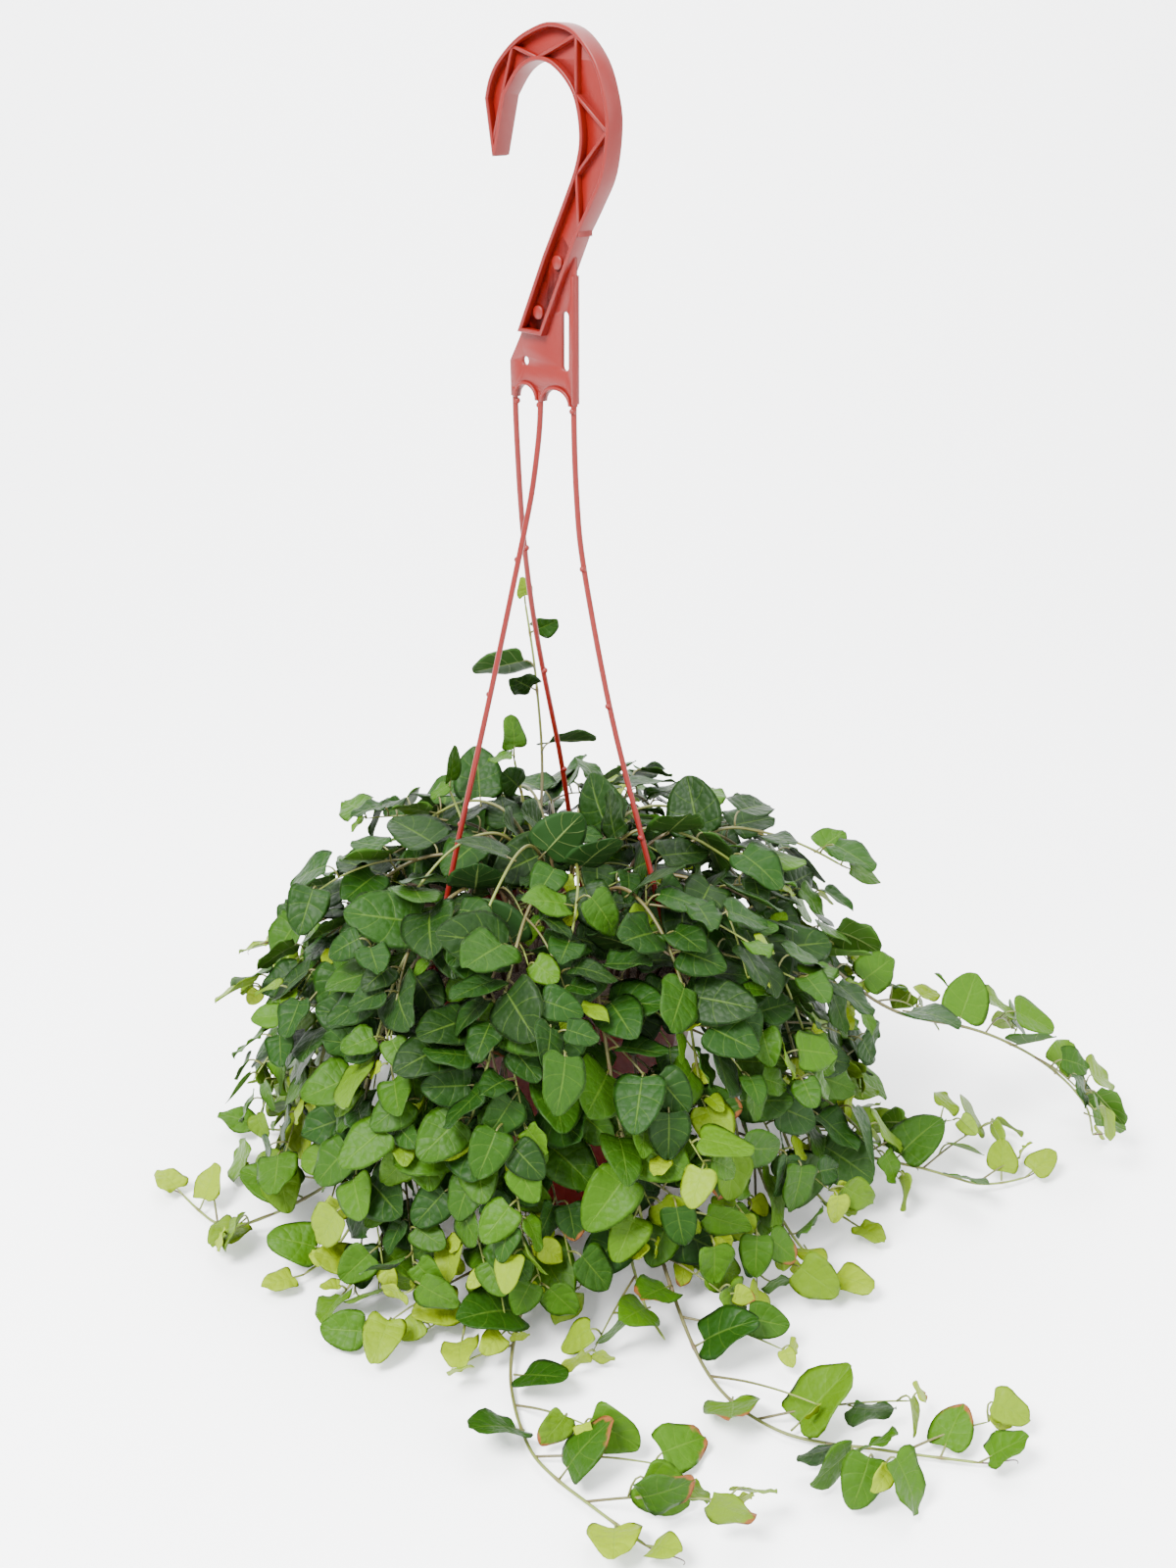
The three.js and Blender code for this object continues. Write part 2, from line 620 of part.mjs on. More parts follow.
// One closed body of a three-sided stem with its leaves. A leaf's stalk grows out of an upper face of its
// stretch of stem, and the last leaf out of the stem's end. Each blade's two faces are split alike,
// in triangles that meet along the midrib.
function leafyStem(stem) {
  const { path, root, leaves } = stem;
  const vertices = [];
  const triangles = [];
  const rings = [];
  const add = (point) => vertices.push(point) - 1;
  const quad = (a, b, c, d) => triangles.push([a, b, c], [a, c, d]);

  // The ridge first, then the corner on the stem's left, then the one on its right
  function addRing(centre, k, radius) {
    const [along, outward] = outwardAt(path, k);
    const forward = k === 0 ? UP : along;
    outward.addScaledVector(forward, -outward.dot(forward)).normalize();
    const sideways = outward.clone().cross(forward);
    rings.push([0, -120, -240].map((degrees) => {
      const [rise, right] = [radius * Math.cos(degrees * RAD), radius * Math.sin(degrees * RAD)];
      return add(centre.clone().addScaledVector(outward, rise).addScaledVector(sideways, right));
    }));
  }

  // The stalk's end, two corners above and one below, is shared by both faces of the blade
  function addBlade(leaf, [right, left, below]) {
    const edge = LEAF_SHARES.map((share) => leafEdge(share, leaf.length));
    const outline = [...edge.map(([x, y]) => [x, -y]), [leaf.length, 0], ...edge.reverse()];
    const top = [left, ...outline.map(([x, y]) => add(leafPoint(leaf, x, y, BLADE / 2))), right];
    const bottom = [below, ...outline.map(([x, y]) => add(leafPoint(leaf, x, y, -BLADE / 2))), below];
    const end = top.length - 1;
    const tip = end / 2;
    triangles.push([left, top[tip], right]);
    for (let i = 0; i < tip - 1; i++) {
      for (const [a, b, c] of [[0, i + 1, i + 2], [end, end - 2 - i, end - 1 - i]]) {
        triangles.push([top[a], top[b], top[c]], [bottom[a], bottom[c], bottom[b]]);
      }
    }
    for (let i = 0; i < end; i++) {
      triangles.push([top[i], bottom[i], top[i + 1]], [top[i + 1], bottom[i], bottom[i + 1]]);
    }
  }

  // The stalk stands just clear of the face whose border is given, and slivers join it to that border.
  // The border starts at the ridge behind the stalk's right corner. On the stem's end both ridges are one.
  function addLeaf(leaf, border) {
    const [a, b, c, d] = border.map((i) => vertices[i]);
    const facing = (a === b ? c : b).clone().sub(d).cross(c.clone().sub(a)).normalize();
    const reach = Math.max(...[a, b, c, d].map((point) => point.clone().sub(leaf.base).dot(facing)));
    const section = [[1, BLADE / 2], [-1, BLADE / 2], [0, -STALK_DEPTH]];
    const start = section.map(([side, height]) => {
      const foot = leaf.base.clone().addScaledVector(leaf.across, side * STALK_HALF_WIDTH)
        .addScaledVector(leaf.normal, height);
      const short = reach + STALK_RISE - foot.clone().sub(leaf.base).dot(facing);
      return add(foot.addScaledVector(leaf.along, short / leaf.along.dot(facing)));
    });
    const neck = section.map(
      ([side, height]) => add(leafPoint(leaf, -NECK, side * STALK_HALF_WIDTH, height)));
    const [behind, ahead, leftFoot, rightFoot] = border;
    const [right, left, below] = start;
    const slivers = [
      [behind, ahead, left], [behind, left, right], [ahead, leftFoot, left], [leftFoot, below, left],
      [leftFoot, rightFoot, below], [rightFoot, right, below], [rightFoot, behind, right],
    ];
    triangles.push(...slivers.filter(([i, j]) => i !== j));
    for (let i = 0; i < 3; i++) {
      const next = (i + 1) % 3;
      quad(start[i], start[next], neck[next], neck[i]);
    }
    addBlade(leaf, neck);
  }

  addRing(root.clone().setZ(root.z - ROOT_DEPTH + GAP), 0, STEM_RADIUS);
  for (let k = 0; k < path.length; k += 2) {
    addRing(path[k], k, STEM_RADIUS * (1 - (STEM_TAPER * k) / path.length));
  }
  triangles.push([...rings[0]].reverse());
  for (let i = 1; i < rings.length; i++) {
    const [low, high] = [rings[i - 1], rings[i]];
    const leaf = leaves.find(({ k }) => k === 2 * i - 3);
    for (let j = 0; j < 3; j++) {
      const next = (j + 1) % 3;
      if (leaf && leaf.side > 0 && j === 2) {
        addLeaf(leaf, [low[0], high[0], high[2], low[2]]);
      } else if (leaf && leaf.side < 0 && j === 0) {
        addLeaf(leaf, [high[0], low[0], low[1], high[1]]);
      } else {
        quad(low[j], low[next], high[next], high[j]);
      }
    }
  }
  const end = rings.at(-1);
  const endLeaf = leaves.find(({ k }) => k === path.length - 1);
  if (endLeaf) {
    addLeaf(endLeaf, [end[0], end[0], end[1], end[2]]);
  } else {
    triangles.push(end);
  }
  return closedBody(vertices, triangles);
}

function closedBody(vertices, triangles) {
  const geometry = new THREE.BufferGeometry();
  const positions = vertices.flatMap((vertex) => vertex.toArray());
  geometry.setAttribute('position', new THREE.Float32BufferAttribute(positions, 3));
  geometry.setIndex(triangles.flat());
  return solid(geometry);
}

function makeSoil(stems) {
  const low = FLOOR + GAP;
  const edge = innerRadius(SOIL_TOP) - GAP;
  let soil = turned([
    [0, low], [innerRadius(low) - GAP, low], [edge, SOIL_TOP], [0, soilHeight(0)],
  ]);
  for (const { root } of stems) {
    soil = soil.subtract(upright(ROOT_HOLE, root.z - ROOT_DEPTH, root.z + 5, 4, root));
  }
  addPiece('soil', soil, SOIL);
}

function makePlant() {
  const stems = planStems();
  growLeaves(stems);
  makeSoil(stems);
  for (const stem of stems) {
    const color = LEAF_TINTS[stem.index % LEAF_TINTS.length];
    addPiece(stem.name, leafyStem(stem), { color, roughness: 0.5, metalness: 0 });
  }
}

makePot();
makeHanger();
makePlant();

export default group;
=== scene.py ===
# Potted creeping fig: fine leafy stems, soil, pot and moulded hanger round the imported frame.
# The plant's rules work in millimetres in the part's own frame, and meshes are made in metres.
import math

import bmesh
import bpy
import numpy as np
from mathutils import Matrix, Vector
from mathutils.geometry import tessellate_polygon


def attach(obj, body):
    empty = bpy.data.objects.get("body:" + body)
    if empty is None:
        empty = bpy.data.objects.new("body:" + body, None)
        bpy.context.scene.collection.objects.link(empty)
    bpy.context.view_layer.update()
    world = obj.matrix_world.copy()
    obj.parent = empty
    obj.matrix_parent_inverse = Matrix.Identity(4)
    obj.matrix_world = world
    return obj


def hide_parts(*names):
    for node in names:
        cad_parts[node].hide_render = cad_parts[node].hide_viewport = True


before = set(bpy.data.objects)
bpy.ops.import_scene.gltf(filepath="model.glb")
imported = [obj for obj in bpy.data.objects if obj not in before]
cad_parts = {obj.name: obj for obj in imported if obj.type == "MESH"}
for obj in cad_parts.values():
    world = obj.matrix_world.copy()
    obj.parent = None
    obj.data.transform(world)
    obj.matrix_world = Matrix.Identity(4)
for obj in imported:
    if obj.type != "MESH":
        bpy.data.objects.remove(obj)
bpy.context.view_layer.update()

MM = 0.001

# Dimensions shared with the part
RIM_RADIUS = 75
POT_HEIGHT = 115
BASE_RADIUS = 51
WALL = 1.9
FLOOR = 3
RIM_SKIRT = 9
RIM_PLATE = 2.8
WIRE_HOLE_RADIUS = 1.6
WIRE_CIRCLE = 70
WIRE_AZIMUTHS = [83.5, 203.5, 323.5]
SOIL_TOP = 102
SOIL_DOME = 2.5
GAP = 0.35
ROOT_DEPTH = 9
HANGER_TURN = 45
PLATE_FOOT = 381.5
WIRE_RADIUS = 1.15

STEP = 15
LEAF_LENGTH = 30
LEAF_HALF_WIDTH = 0.41
STALK = 5
LEAF_FOLD = 0.18
LEAF_ARCH = 0.1
LEVEL_LIFT = 0.35
ROD_GAP = 6
TURNS = [0, 4, -4, 8, -8, 12, -12]
LEAF_GAP = 4.6
STEM_GAP = 4.5
OWN_GAP = 2.6
CLEAR = 2.5
TRIES = 24

UP = np.array([0.0, 0.0, 1.0])
taper = (RIM_RADIUS - 7.6 - BASE_RADIUS) / POT_HEIGHT


def outer_radius(z):
    return BASE_RADIUS + taper * z


def inner_radius(z):
    return outer_radius(z) - WALL


def soil_height(radius):
    return SOIL_TOP + SOIL_DOME * (1 - radius / inner_radius(SOIL_TOP))


def on_circle(radius, degrees, z):
    angle = degrees * math.pi / 180
    return np.array([radius * math.cos(angle), radius * math.sin(angle), z])


def unit(v):
    return v / math.sqrt(v @ v)


def spun(v, axis, angle):
    """v turned about a unit axis."""
    return v * math.cos(angle) + np.cross(axis, v) * math.sin(angle) + axis * (axis @ v) * (1 - math.cos(angle))


def randoms_from(seed):
    state = (seed * 7919 + 104729) % 2147483647

    def draw():
        nonlocal state
        state = (state * 48271) % 2147483647
        return state / 2147483647

    draw()
    draw()
    return draw


# Routes of the wires and stems, the same as the part's
WIRES = [
    (-30, [(330, 0.06), (290, 0.17), (252, 0.34), (198, 0.63), (156, 0.81), (132, 0.935)]),
    (-13.4, [(345, 0.07), (313, 0.19), (250, 0.445), (190, 0.7), (140, 0.9), (126, 0.975)]),
    (7, [(345, 0.02), (312, 0.08), (247, 0.316), (187, 0.611), (135, 0.875), (126, 0.95)]),
]
RINGS = [
    dict(kind="skirt", count=13, first=12, root=52, size=1, spread=5, route=[
        (57, 116), (66, 126), (80, 125), (93, 107), (103, 83), (113, 55), (127, 26), (145, 8), (157, 5)]),
    dict(kind="side", count=13, first=3, root=38, size=1.05, spread=5, route=[
        (42, 124), (56, 145), (78, 148), (98, 134), (112, 110), (121, 86), (128, 62), (133, 42)]),
    dict(kind="shoulder", count=9, first=20, root=24, size=1.05, spread=7, route=[
        (27, 136), (38, 160), (60, 169), (84, 160), (103, 141), (115, 117), (122, 97)]),
    dict(kind="crown", count=9, first=34, root=10, size=1, spread=9, route=[
        (13, 140), (20, 168), (38, 184), (62, 180), (84, 165)]),
]
SHOOTS = [
    ("upright_tall", (17, 150), 0.6, [(-14, 30, 150), (-12, 56, 190), (-15, 60, 238), (-19.5, 60, 274)]),
    ("upright_pale", (17, 100), 0.9, [(-12, 24, 150), (-20, 28, 180), (-25, 30, 205)]),
    ("upright_left", (31, 190), 0.9, [(-34, 4, 140), (-47, 12, 172), (-56, 20, 192)]),
    ("upright_right", (31, 352), 0.9, [(40, 0, 150), (72, 8, 176), (108, 16, 168), (136, 20, 152)]),
    ("far_right", (45, 350), 0.9, [
        (70, -10, 142), (118, -6, 118), (162, 0, 82), (206, 0, 70), (240, 0, 52), (264, 0, 28), (271, 0, 8)]),
    ("far_left", (45, 172), 0.9, [(-72, 12, 142), (-108, 20, 128), (-147, 30, 104)]),
]
RUNNERS = [
    ("front_runner", -96, [(-22, -168, 4), (-12, -215, 3), (8, -240, 3), (33, -264, 3)]),
    ("front_right_runner", -70, [(62, -172, 4), (90, -205, 3), (129, -215, 3), (167, -222, 3)]),
    ("right_runner", -14, [(178, -42, 16), (206, -40, 6), (230, -30, 3)]),
    ("left_runner", -150, [(-158, -72, 5), (-188, -46, 4)]),
]


def even_path(points, step=STEP):
    """A smooth curve through the points, cut into an even number of equal steps of about one step."""
    points = [np.array(p, float) for p in points]
    fine = []
    for i in range(len(points) - 1):
        a, b, c, d = points[max(i - 1, 0)], points[i], points[i + 1], points[min(i + 2, len(points) - 1)]
        for j in range(10):
            t = j / 10
            fine.append(0.5 * (2 * b + (c - a) * t + (2 * a - 5 * b + 4 * c - d) * t * t
                               + (3 * b - a - 3 * c + d) * t * t * t))
    fine.append(points[-1].copy())
    along = [0.0]
    for i in range(1, len(fine)):
        along.append(along[i - 1] + math.dist(fine[i], fine[i - 1]))
    count = 2 * max(1, math.floor(along[-1] / (2 * step) + 0.5))
    even = []
    i = 1
    for k in range(count + 1):
        want = along[-1] * k / count
        while i < len(fine) - 1 and along[i] < want:
            i += 1
        even.append(fine[i - 1] + (fine[i] - fine[i - 1]) * ((want - along[i - 1]) / (along[i] - along[i - 1])))
    return even


def with_path(stem):
    root = stem["root"]
    root[2] = soil_height(math.hypot(root[0], root[1]))
    stem["path"] = even_path([root + 3 * UP] + stem["points"])
    return stem


def ring_stem(number, index, shift):
    ring = RINGS[number]
    random = randoms_from(number * 100 + index + 1)
    azimuth = ring["first"] + 360 * index / ring["count"] + (random() - 0.5) * 6 + shift
    drift = (random() - 0.5) * 2 * ring["spread"]
    push = (random() - 0.5) * 9
    lift = (random() - 0.5) * 9
    points = []
    for i, (radius, z) in enumerate(ring["route"]):
        share = i / (len(ring["route"]) - 1)
        wave = 2.5 * math.sin(4 * share + index)
        height = max(4, z + lift * math.sin(math.pi * share))
        points.append(on_circle(radius + push * share, azimuth + drift * share + wave * share, height))
    root = on_circle(ring["root"], azimuth, 0)
    return dict(name=f"{ring['kind']}_{index + 1}", root=root, points=points, size=ring["size"])


def runner(name, azimuth, points):
    start = [on_circle(radius, azimuth, z) for radius, z in RINGS[0]["route"][:-2]]
    root = on_circle(RINGS[0]["root"], azimuth, 0)
    return dict(name=name, root=root, points=start + [np.array(p, float) for p in points], size=0.95)


def shoot(name, root, size, points):
    return dict(name=name, root=on_circle(*root, 0), points=[np.array(p, float) for p in points], size=size)


def wire_path(number):
    u, reach = WIRES[number]
    turn = HANGER_TURN * math.pi / 180
    start = np.array([u * math.cos(turn), -u * math.sin(turn), 0])
    end = on_circle(WIRE_CIRCLE, WIRE_AZIMUTHS[number], 0)

    def at(z, share):
        point = start + (end - start) * share
        return np.array([point[0], point[1], z])

    return even_path([at(PLATE_FOOT + 4, 0), at(PLATE_FOOT - 4, 0)] + [at(z, share) for z, share in reach]
                     + [at(POT_HEIGHT + 2.5, 1)])


class Rods:
    """The straight stretches that leaves and stems keep clear of."""

    def __init__(self, stems):
        self.rows = []
        for stem in stems:
            self.add(stem["path"][::2], stem.get("index", -2))
        for number in range(len(WIRES)):
            self.add(wire_path(number), -1)

    def add(self, points, owner):
        self.rows += [(a, b, owner) for a, b in zip(points, points[1:])]
        self.a = np.array([r[0] for r in self.rows])
        self.way = np.array([r[1] for r in self.rows]) - self.a
        self.owner = np.array([r[2] for r in self.rows])

    def distances(self, points, chosen=slice(None)):
        """Distance from each point to each chosen rod."""
        a, way = self.a[chosen], self.way[chosen]
        offset = points[:, None, :] - a[None]
        share = np.clip((offset * way).sum(-1) / (way * way).sum(-1), 0, 1)
        return np.linalg.norm(offset - share[..., None] * way, axis=-1)


def along_rods(path):
    points = [path[k - 2] + (path[k] - path[k - 2]) * (j / 6) for k in range(2, len(path), 2) for j in range(6)]
    return np.array(points + [path[-1]])


def plan_stems():
    """Every stem of the part. Ring stems turn aside, a little at a time, from what is in their way."""
    stems = [with_path(s) for s in [runner(*r) for r in RUNNERS] + [shoot(*s) for s in SHOOTS]]
    for number, ring in enumerate(RINGS):
        for index in range(ring["count"]):
            rods = Rods(stems)
            for shift in TURNS:
                stem = with_path(ring_stem(number, index, shift))
                if rods.distances(along_rods(stem["path"])).min() > ROD_GAP:
                    stems.append(stem)
                    break
    for i, stem in enumerate(stems):
        stem["index"] = i
    return stems


def leaf_edge(share, length, blunt=0.0):
    """The outline's point on one side. Share 0 is the notch at the stalk, and share 1 the tip."""
    angle = np.pi * share
    sine = np.sin(angle)
    x = length * ((1 - np.cos(angle)) / 2 - 0.3 * sine * (1 - share) ** 2)
    fullness = np.maximum(sine, 0) ** (0.7 + 0.5 * share - blunt) * (1 + 0.3 * np.cos(angle))
    return x, LEAF_HALF_WIDTH * length * fullness


def leaf_points(leaf, x, y, lift=0.0):
    height = LEAF_FOLD * np.abs(y) - LEAF_ARCH * x * x / leaf["length"] + lift
    return (leaf["base"] + np.multiply.outer(x + STALK, leaf["along"]) + np.multiply.outer(y, leaf["across"])
            + np.multiply.outer(height, leaf["normal"]))


def outward_at(path, k):
    """The stem's direction at step k, and the direction square to it on the upper side of its arch."""
    x, y, _ = path[k]
    along = unit(path[min(k + 1, len(path) - 1)] - path[max(k - 1, 0)])
    radial = np.array([x, y, 0.0]) / (math.hypot(x, y) + 1)
    outward = -along[2] * radial + (LEVEL_LIFT + abs(along @ radial)) * UP
    return along, unit(outward - along * (outward @ along))


def leaf_on(stem, k, random):
    """A leaf on step k, turned to its side, lifted off the stem and rolled by its random draws."""
    path = stem["path"]
    last = k == len(path) - 1
    base = path[k].copy() if last else path[k - 1] + (path[k + 1] - path[k - 1]) * 0.5
    along, outward = outward_at(path, k)
    sideways = np.cross(outward, along)
    side = 1 if k % 4 < 2 else -1
    angle = (random() - 0.5) * 0.5 if last else (0.75 + 0.65 * random()) * side
    lift = (0.1 if last else 0.3) + 0.6 * random()
    roll = (random() - 0.5) * 0.7
    fade = 0.62 + 0.38 * min(1, (len(path) - 1 - k) / 4)
    length = LEAF_LENGTH * stem["size"] * fade * (0.82 + 0.3 * random())
    level = along * math.cos(angle) + sideways * math.sin(angle)
    forward = level * math.cos(lift) + outward * math.sin(lift)
    normal = spun(outward * math.cos(lift) - level * math.sin(lift), forward, roll)
    return dict(base=base, along=forward, normal=normal, across=np.cross(normal, forward), length=length, k=k)


SAMPLE_SHARES = np.repeat([0.1, 0.22, 0.34, 0.46, 0.58, 0.7, 0.82, 0.92], 7)
SAMPLE_SIDES = np.tile([-1, -0.66, -0.33, 0, 0.33, 0.66, 1], 8)


def leaf_samples(leaf):
    """Points all over a leaf, of which the first lies on its stalk."""
    length = leaf["length"]
    x, y = leaf_edge(SAMPLE_SHARES, length)
    middle = SAMPLE_SHARES * length
    x = middle + np.abs(SAMPLE_SIDES) * (x - middle)
    y = SAMPLE_SIDES * y
    return leaf_points(leaf, np.concatenate([[-STALK / 2, length], x]), np.concatenate([[0, 0], y]))


def in_pot_or_soil(points):
    radius = np.hypot(points[:, 0], points[:, 1])
    z = points[:, 2]
    outside = (z > POT_HEIGHT + CLEAR) | (radius > RIM_RADIUS + CLEAR)
    above = (z > soil_height(0) + CLEAR) & (radius < inner_radius(POT_HEIGHT) - CLEAR)
    solid = (z > POT_HEIGHT - RIM_SKIRT - CLEAR) | (radius < BASE_RADIUS + taper * z + CLEAR)
    return ~outside & ~above & solid


class Foliage:
    """The leaves placed so far, and the test that a new one is clear of them, the stems and the pot."""

    def __init__(self, stems):
        self.rods = Rods(stems)
        self.middles = np.zeros((0, 3))
        self.blades = []

    def is_clear(self, samples, owner, leaf, ease=1.0):
        if (samples[:, 2] < CLEAR).any() or in_pot_or_soil(samples).any():
            return False
        middle = leaf_points(leaf, np.array([leaf["length"] / 2]), np.array([0.0]))
        near = np.flatnonzero(self.rods.distances(middle)[0] < leaf["length"])
        if len(near):
            distance = self.rods.distances(samples, near)
            own = self.rods.owner[near] == owner
            gaps = np.where(own, OWN_GAP, STEM_GAP)
            hits = distance < gaps * ease
            hits[0, own] = False
            if hits.any():
                return False
        gap = LEAF_GAP * ease
        for other in np.flatnonzero(np.linalg.norm(self.middles - middle, axis=1) < leaf["length"] + LEAF_LENGTH):
            blade = self.blades[other]
            close = blade[np.linalg.norm(blade - middle, axis=1) < leaf["length"]]
            if len(close) and np.linalg.norm(samples[:, None] - close[None], axis=-1).min() < gap:
                return False
        return True

    def try_leaf(self, stem, draw_leaf, tries=TRIES, ease=1.0, ceiling=math.inf):
        """Keeps the first drawn leaf that is clear and under the ceiling, if one of the tries is."""
        for _ in range(tries):
            leaf = draw_leaf()
            samples = leaf_samples(leaf)
            if samples[:, 2].max() < ceiling and self.is_clear(samples, stem["index"], leaf, ease):
                stem["leaves"].append(leaf)
                self.blades.append(samples)
                self.middles = np.vstack([self.middles, leaf_points(leaf, leaf["length"] / 2, 0.0)])
                return


def grow_leaves(stems):
    """The part's own leaves."""
    foliage = Foliage(stems)
    for stem in stems:
        last = len(stem["path"]) - 1
        stem["leaves"] = []
        k = 3
        while k <= last:
            random = randoms_from(stem["index"] * 1000 + k)
            foliage.try_leaf(stem, lambda: leaf_on(stem, k, random))
            k += 1 if k == last - 1 else 2
    return foliage


# Looks of the plant
LEAF_ROWS = np.array([0.035, 0.08, 0.14, 0.21, 0.29, 0.38, 0.47, 0.56, 0.65, 0.74, 0.82, 0.89, 0.95])
LEAF_COLUMNS = np.array([-1, -0.8, -0.5, -0.2, 0, 0.2, 0.5, 0.8, 1])
LEAF_THICKNESS = 0.32
MIDRIB_DEPTH = 0.35
STEM_SIDES = 6
STALK_STEPS = 5
BLUNTER = 0.08
STEM_THICK = 1.1
STEM_THIN = 0.6
NODE_SWELL = 0.35
LEAF_TOP, LEAF_UNDERSIDE, STEM_BARK = 0, 1, 2


class Body:
    """Vertices, faces and looks of one piece, in millimetres."""

    def __init__(self):
        self.points, self.uvs, self.tones = [], [], []
        self.faces, self.materials = [], []
        self.count = 0

    def add(self, points, uv, tone):
        """Adds points, their UVs and their one tone or tones. Returns the points' numbers."""
        first = self.count
        self.count += len(points)
        self.points.append(points)
        self.uvs.append(uv)
        self.tones.append(np.broadcast_to(tone, (len(points), 4)))
        return np.arange(first, self.count)

    def add_faces(self, faces, material):
        self.faces += faces
        self.materials += [material] * len(faces)

    def grid(self, numbers, material, closed=False, turned=False):
        """Quads between the rows of a grid of point numbers."""
        if closed:
            numbers = np.hstack([numbers, numbers[:, :1]])
        a, b, c, d = numbers[:-1, :-1], numbers[:-1, 1:], numbers[1:, 1:], numbers[1:, :-1]
        quads = np.stack([a, d, c, b] if turned else [a, b, c, d], axis=-1).reshape(-1, 4)
        self.add_faces(quads.tolist(), material)

    def fan(self, hub, numbers, material, turned=False):
        pairs = zip(numbers[:-1].tolist(), numbers[1:].tolist())
        self.add_faces([[int(hub), b, a] if turned else [int(hub), a, b] for a, b in pairs], material)

    def make(self, name, materials):
        mesh = bpy.data.meshes.new(name)
        points = np.vstack(self.points) * MM
        mesh.from_pydata(points.tolist(), [], self.faces)
        mesh.polygons.foreach_set("material_index", self.materials)
        mesh.polygons.foreach_set("use_smooth", [True] * len(mesh.polygons))
        corners = np.empty(len(mesh.loops), int)
        mesh.loops.foreach_get("vertex_index", corners)
        mesh.uv_layers.new(name="blade").data.foreach_set("uv", np.vstack(self.uvs)[corners].ravel())
        tones = mesh.color_attributes.new(name="tone", type="FLOAT_COLOR", domain="POINT")
        tones.data.foreach_set("color", np.vstack(self.tones).ravel())
        for material in materials:
            mesh.materials.append(material)
        mesh.validate()
        piece = bpy.data.objects.new(name, mesh)
        bpy.context.scene.collection.objects.link(piece)
        return piece


def tube(body, centres, radii, sides, material, tones):
    """A closed round tube through the centres."""
    centres = np.array(centres)
    ways = np.gradient(centres, axis=0)
    ways /= np.linalg.norm(ways, axis=1)[:, None]
    side = np.cross(ways[0], UP if abs(ways[0][2]) < 0.9 else np.array([1.0, 0, 0]))
    rings = []
    for centre, way, radius in zip(centres, ways, radii):
        side = unit(side - way * (side @ way))
        other = np.cross(way, side)
        angles = np.arange(sides) * 2 * np.pi / sides
        rings.append(centre + radius * (np.outer(np.cos(angles), side) + np.outer(np.sin(angles), other)))
    steps = len(centres)
    uv = np.stack(np.meshgrid(np.arange(steps) / steps, np.arange(sides) / sides, indexing="ij"), -1)
    numbers = body.add(np.vstack(rings), uv.reshape(-1, 2), np.repeat(tones, sides, axis=0))
    numbers = numbers.reshape(steps, sides)
    body.grid(numbers, material, closed=True)
    body.add_faces([numbers[0][::-1].tolist(), numbers[-1].tolist()], material)


def leaf_grid(leaf, draw):
    """Points of a leaf's upper face, in rows from the stalk to the tip."""
    length = leaf["length"]
    edge_x, edge_y = leaf_edge(LEAF_ROWS, length, BLUNTER)
    edge_y = edge_y * draw["wide"]
    middle = LEAF_ROWS * length
    rows, columns = LEAF_ROWS[:, None], LEAF_COLUMNS[None]
    x = middle[:, None] + np.abs(columns) * (edge_x - middle)[:, None]
    y = columns * edge_y[:, None]
    side = np.where(columns < 0, -1, 1)
    wave = np.sin(2 * np.pi * (draw["waves"] * rows + draw["phase"] * side)) * np.abs(columns) ** 3
    rounded = np.sqrt(y * y + 2) - np.sqrt(2) - np.abs(y)
    quilt = np.sin(2 * np.pi * 6 * (rows - 0.25 * np.abs(columns))) * np.abs(columns) * (1 - np.abs(columns))
    lift = (LEAF_FOLD * rounded + draw["fold"] * np.abs(y) - draw["curl"] * x * x / length
            - draw["droop"] * y * y / length + wave * draw["wave"] + 0.5 * quilt)
    height = LEAF_FOLD * np.abs(y) - LEAF_ARCH * x * x / length + lift
    points = (leaf["base"] + (x + STALK)[..., None] * leaf["along"] + y[..., None] * leaf["across"]
              + height[..., None] * leaf["normal"])
    return points, height


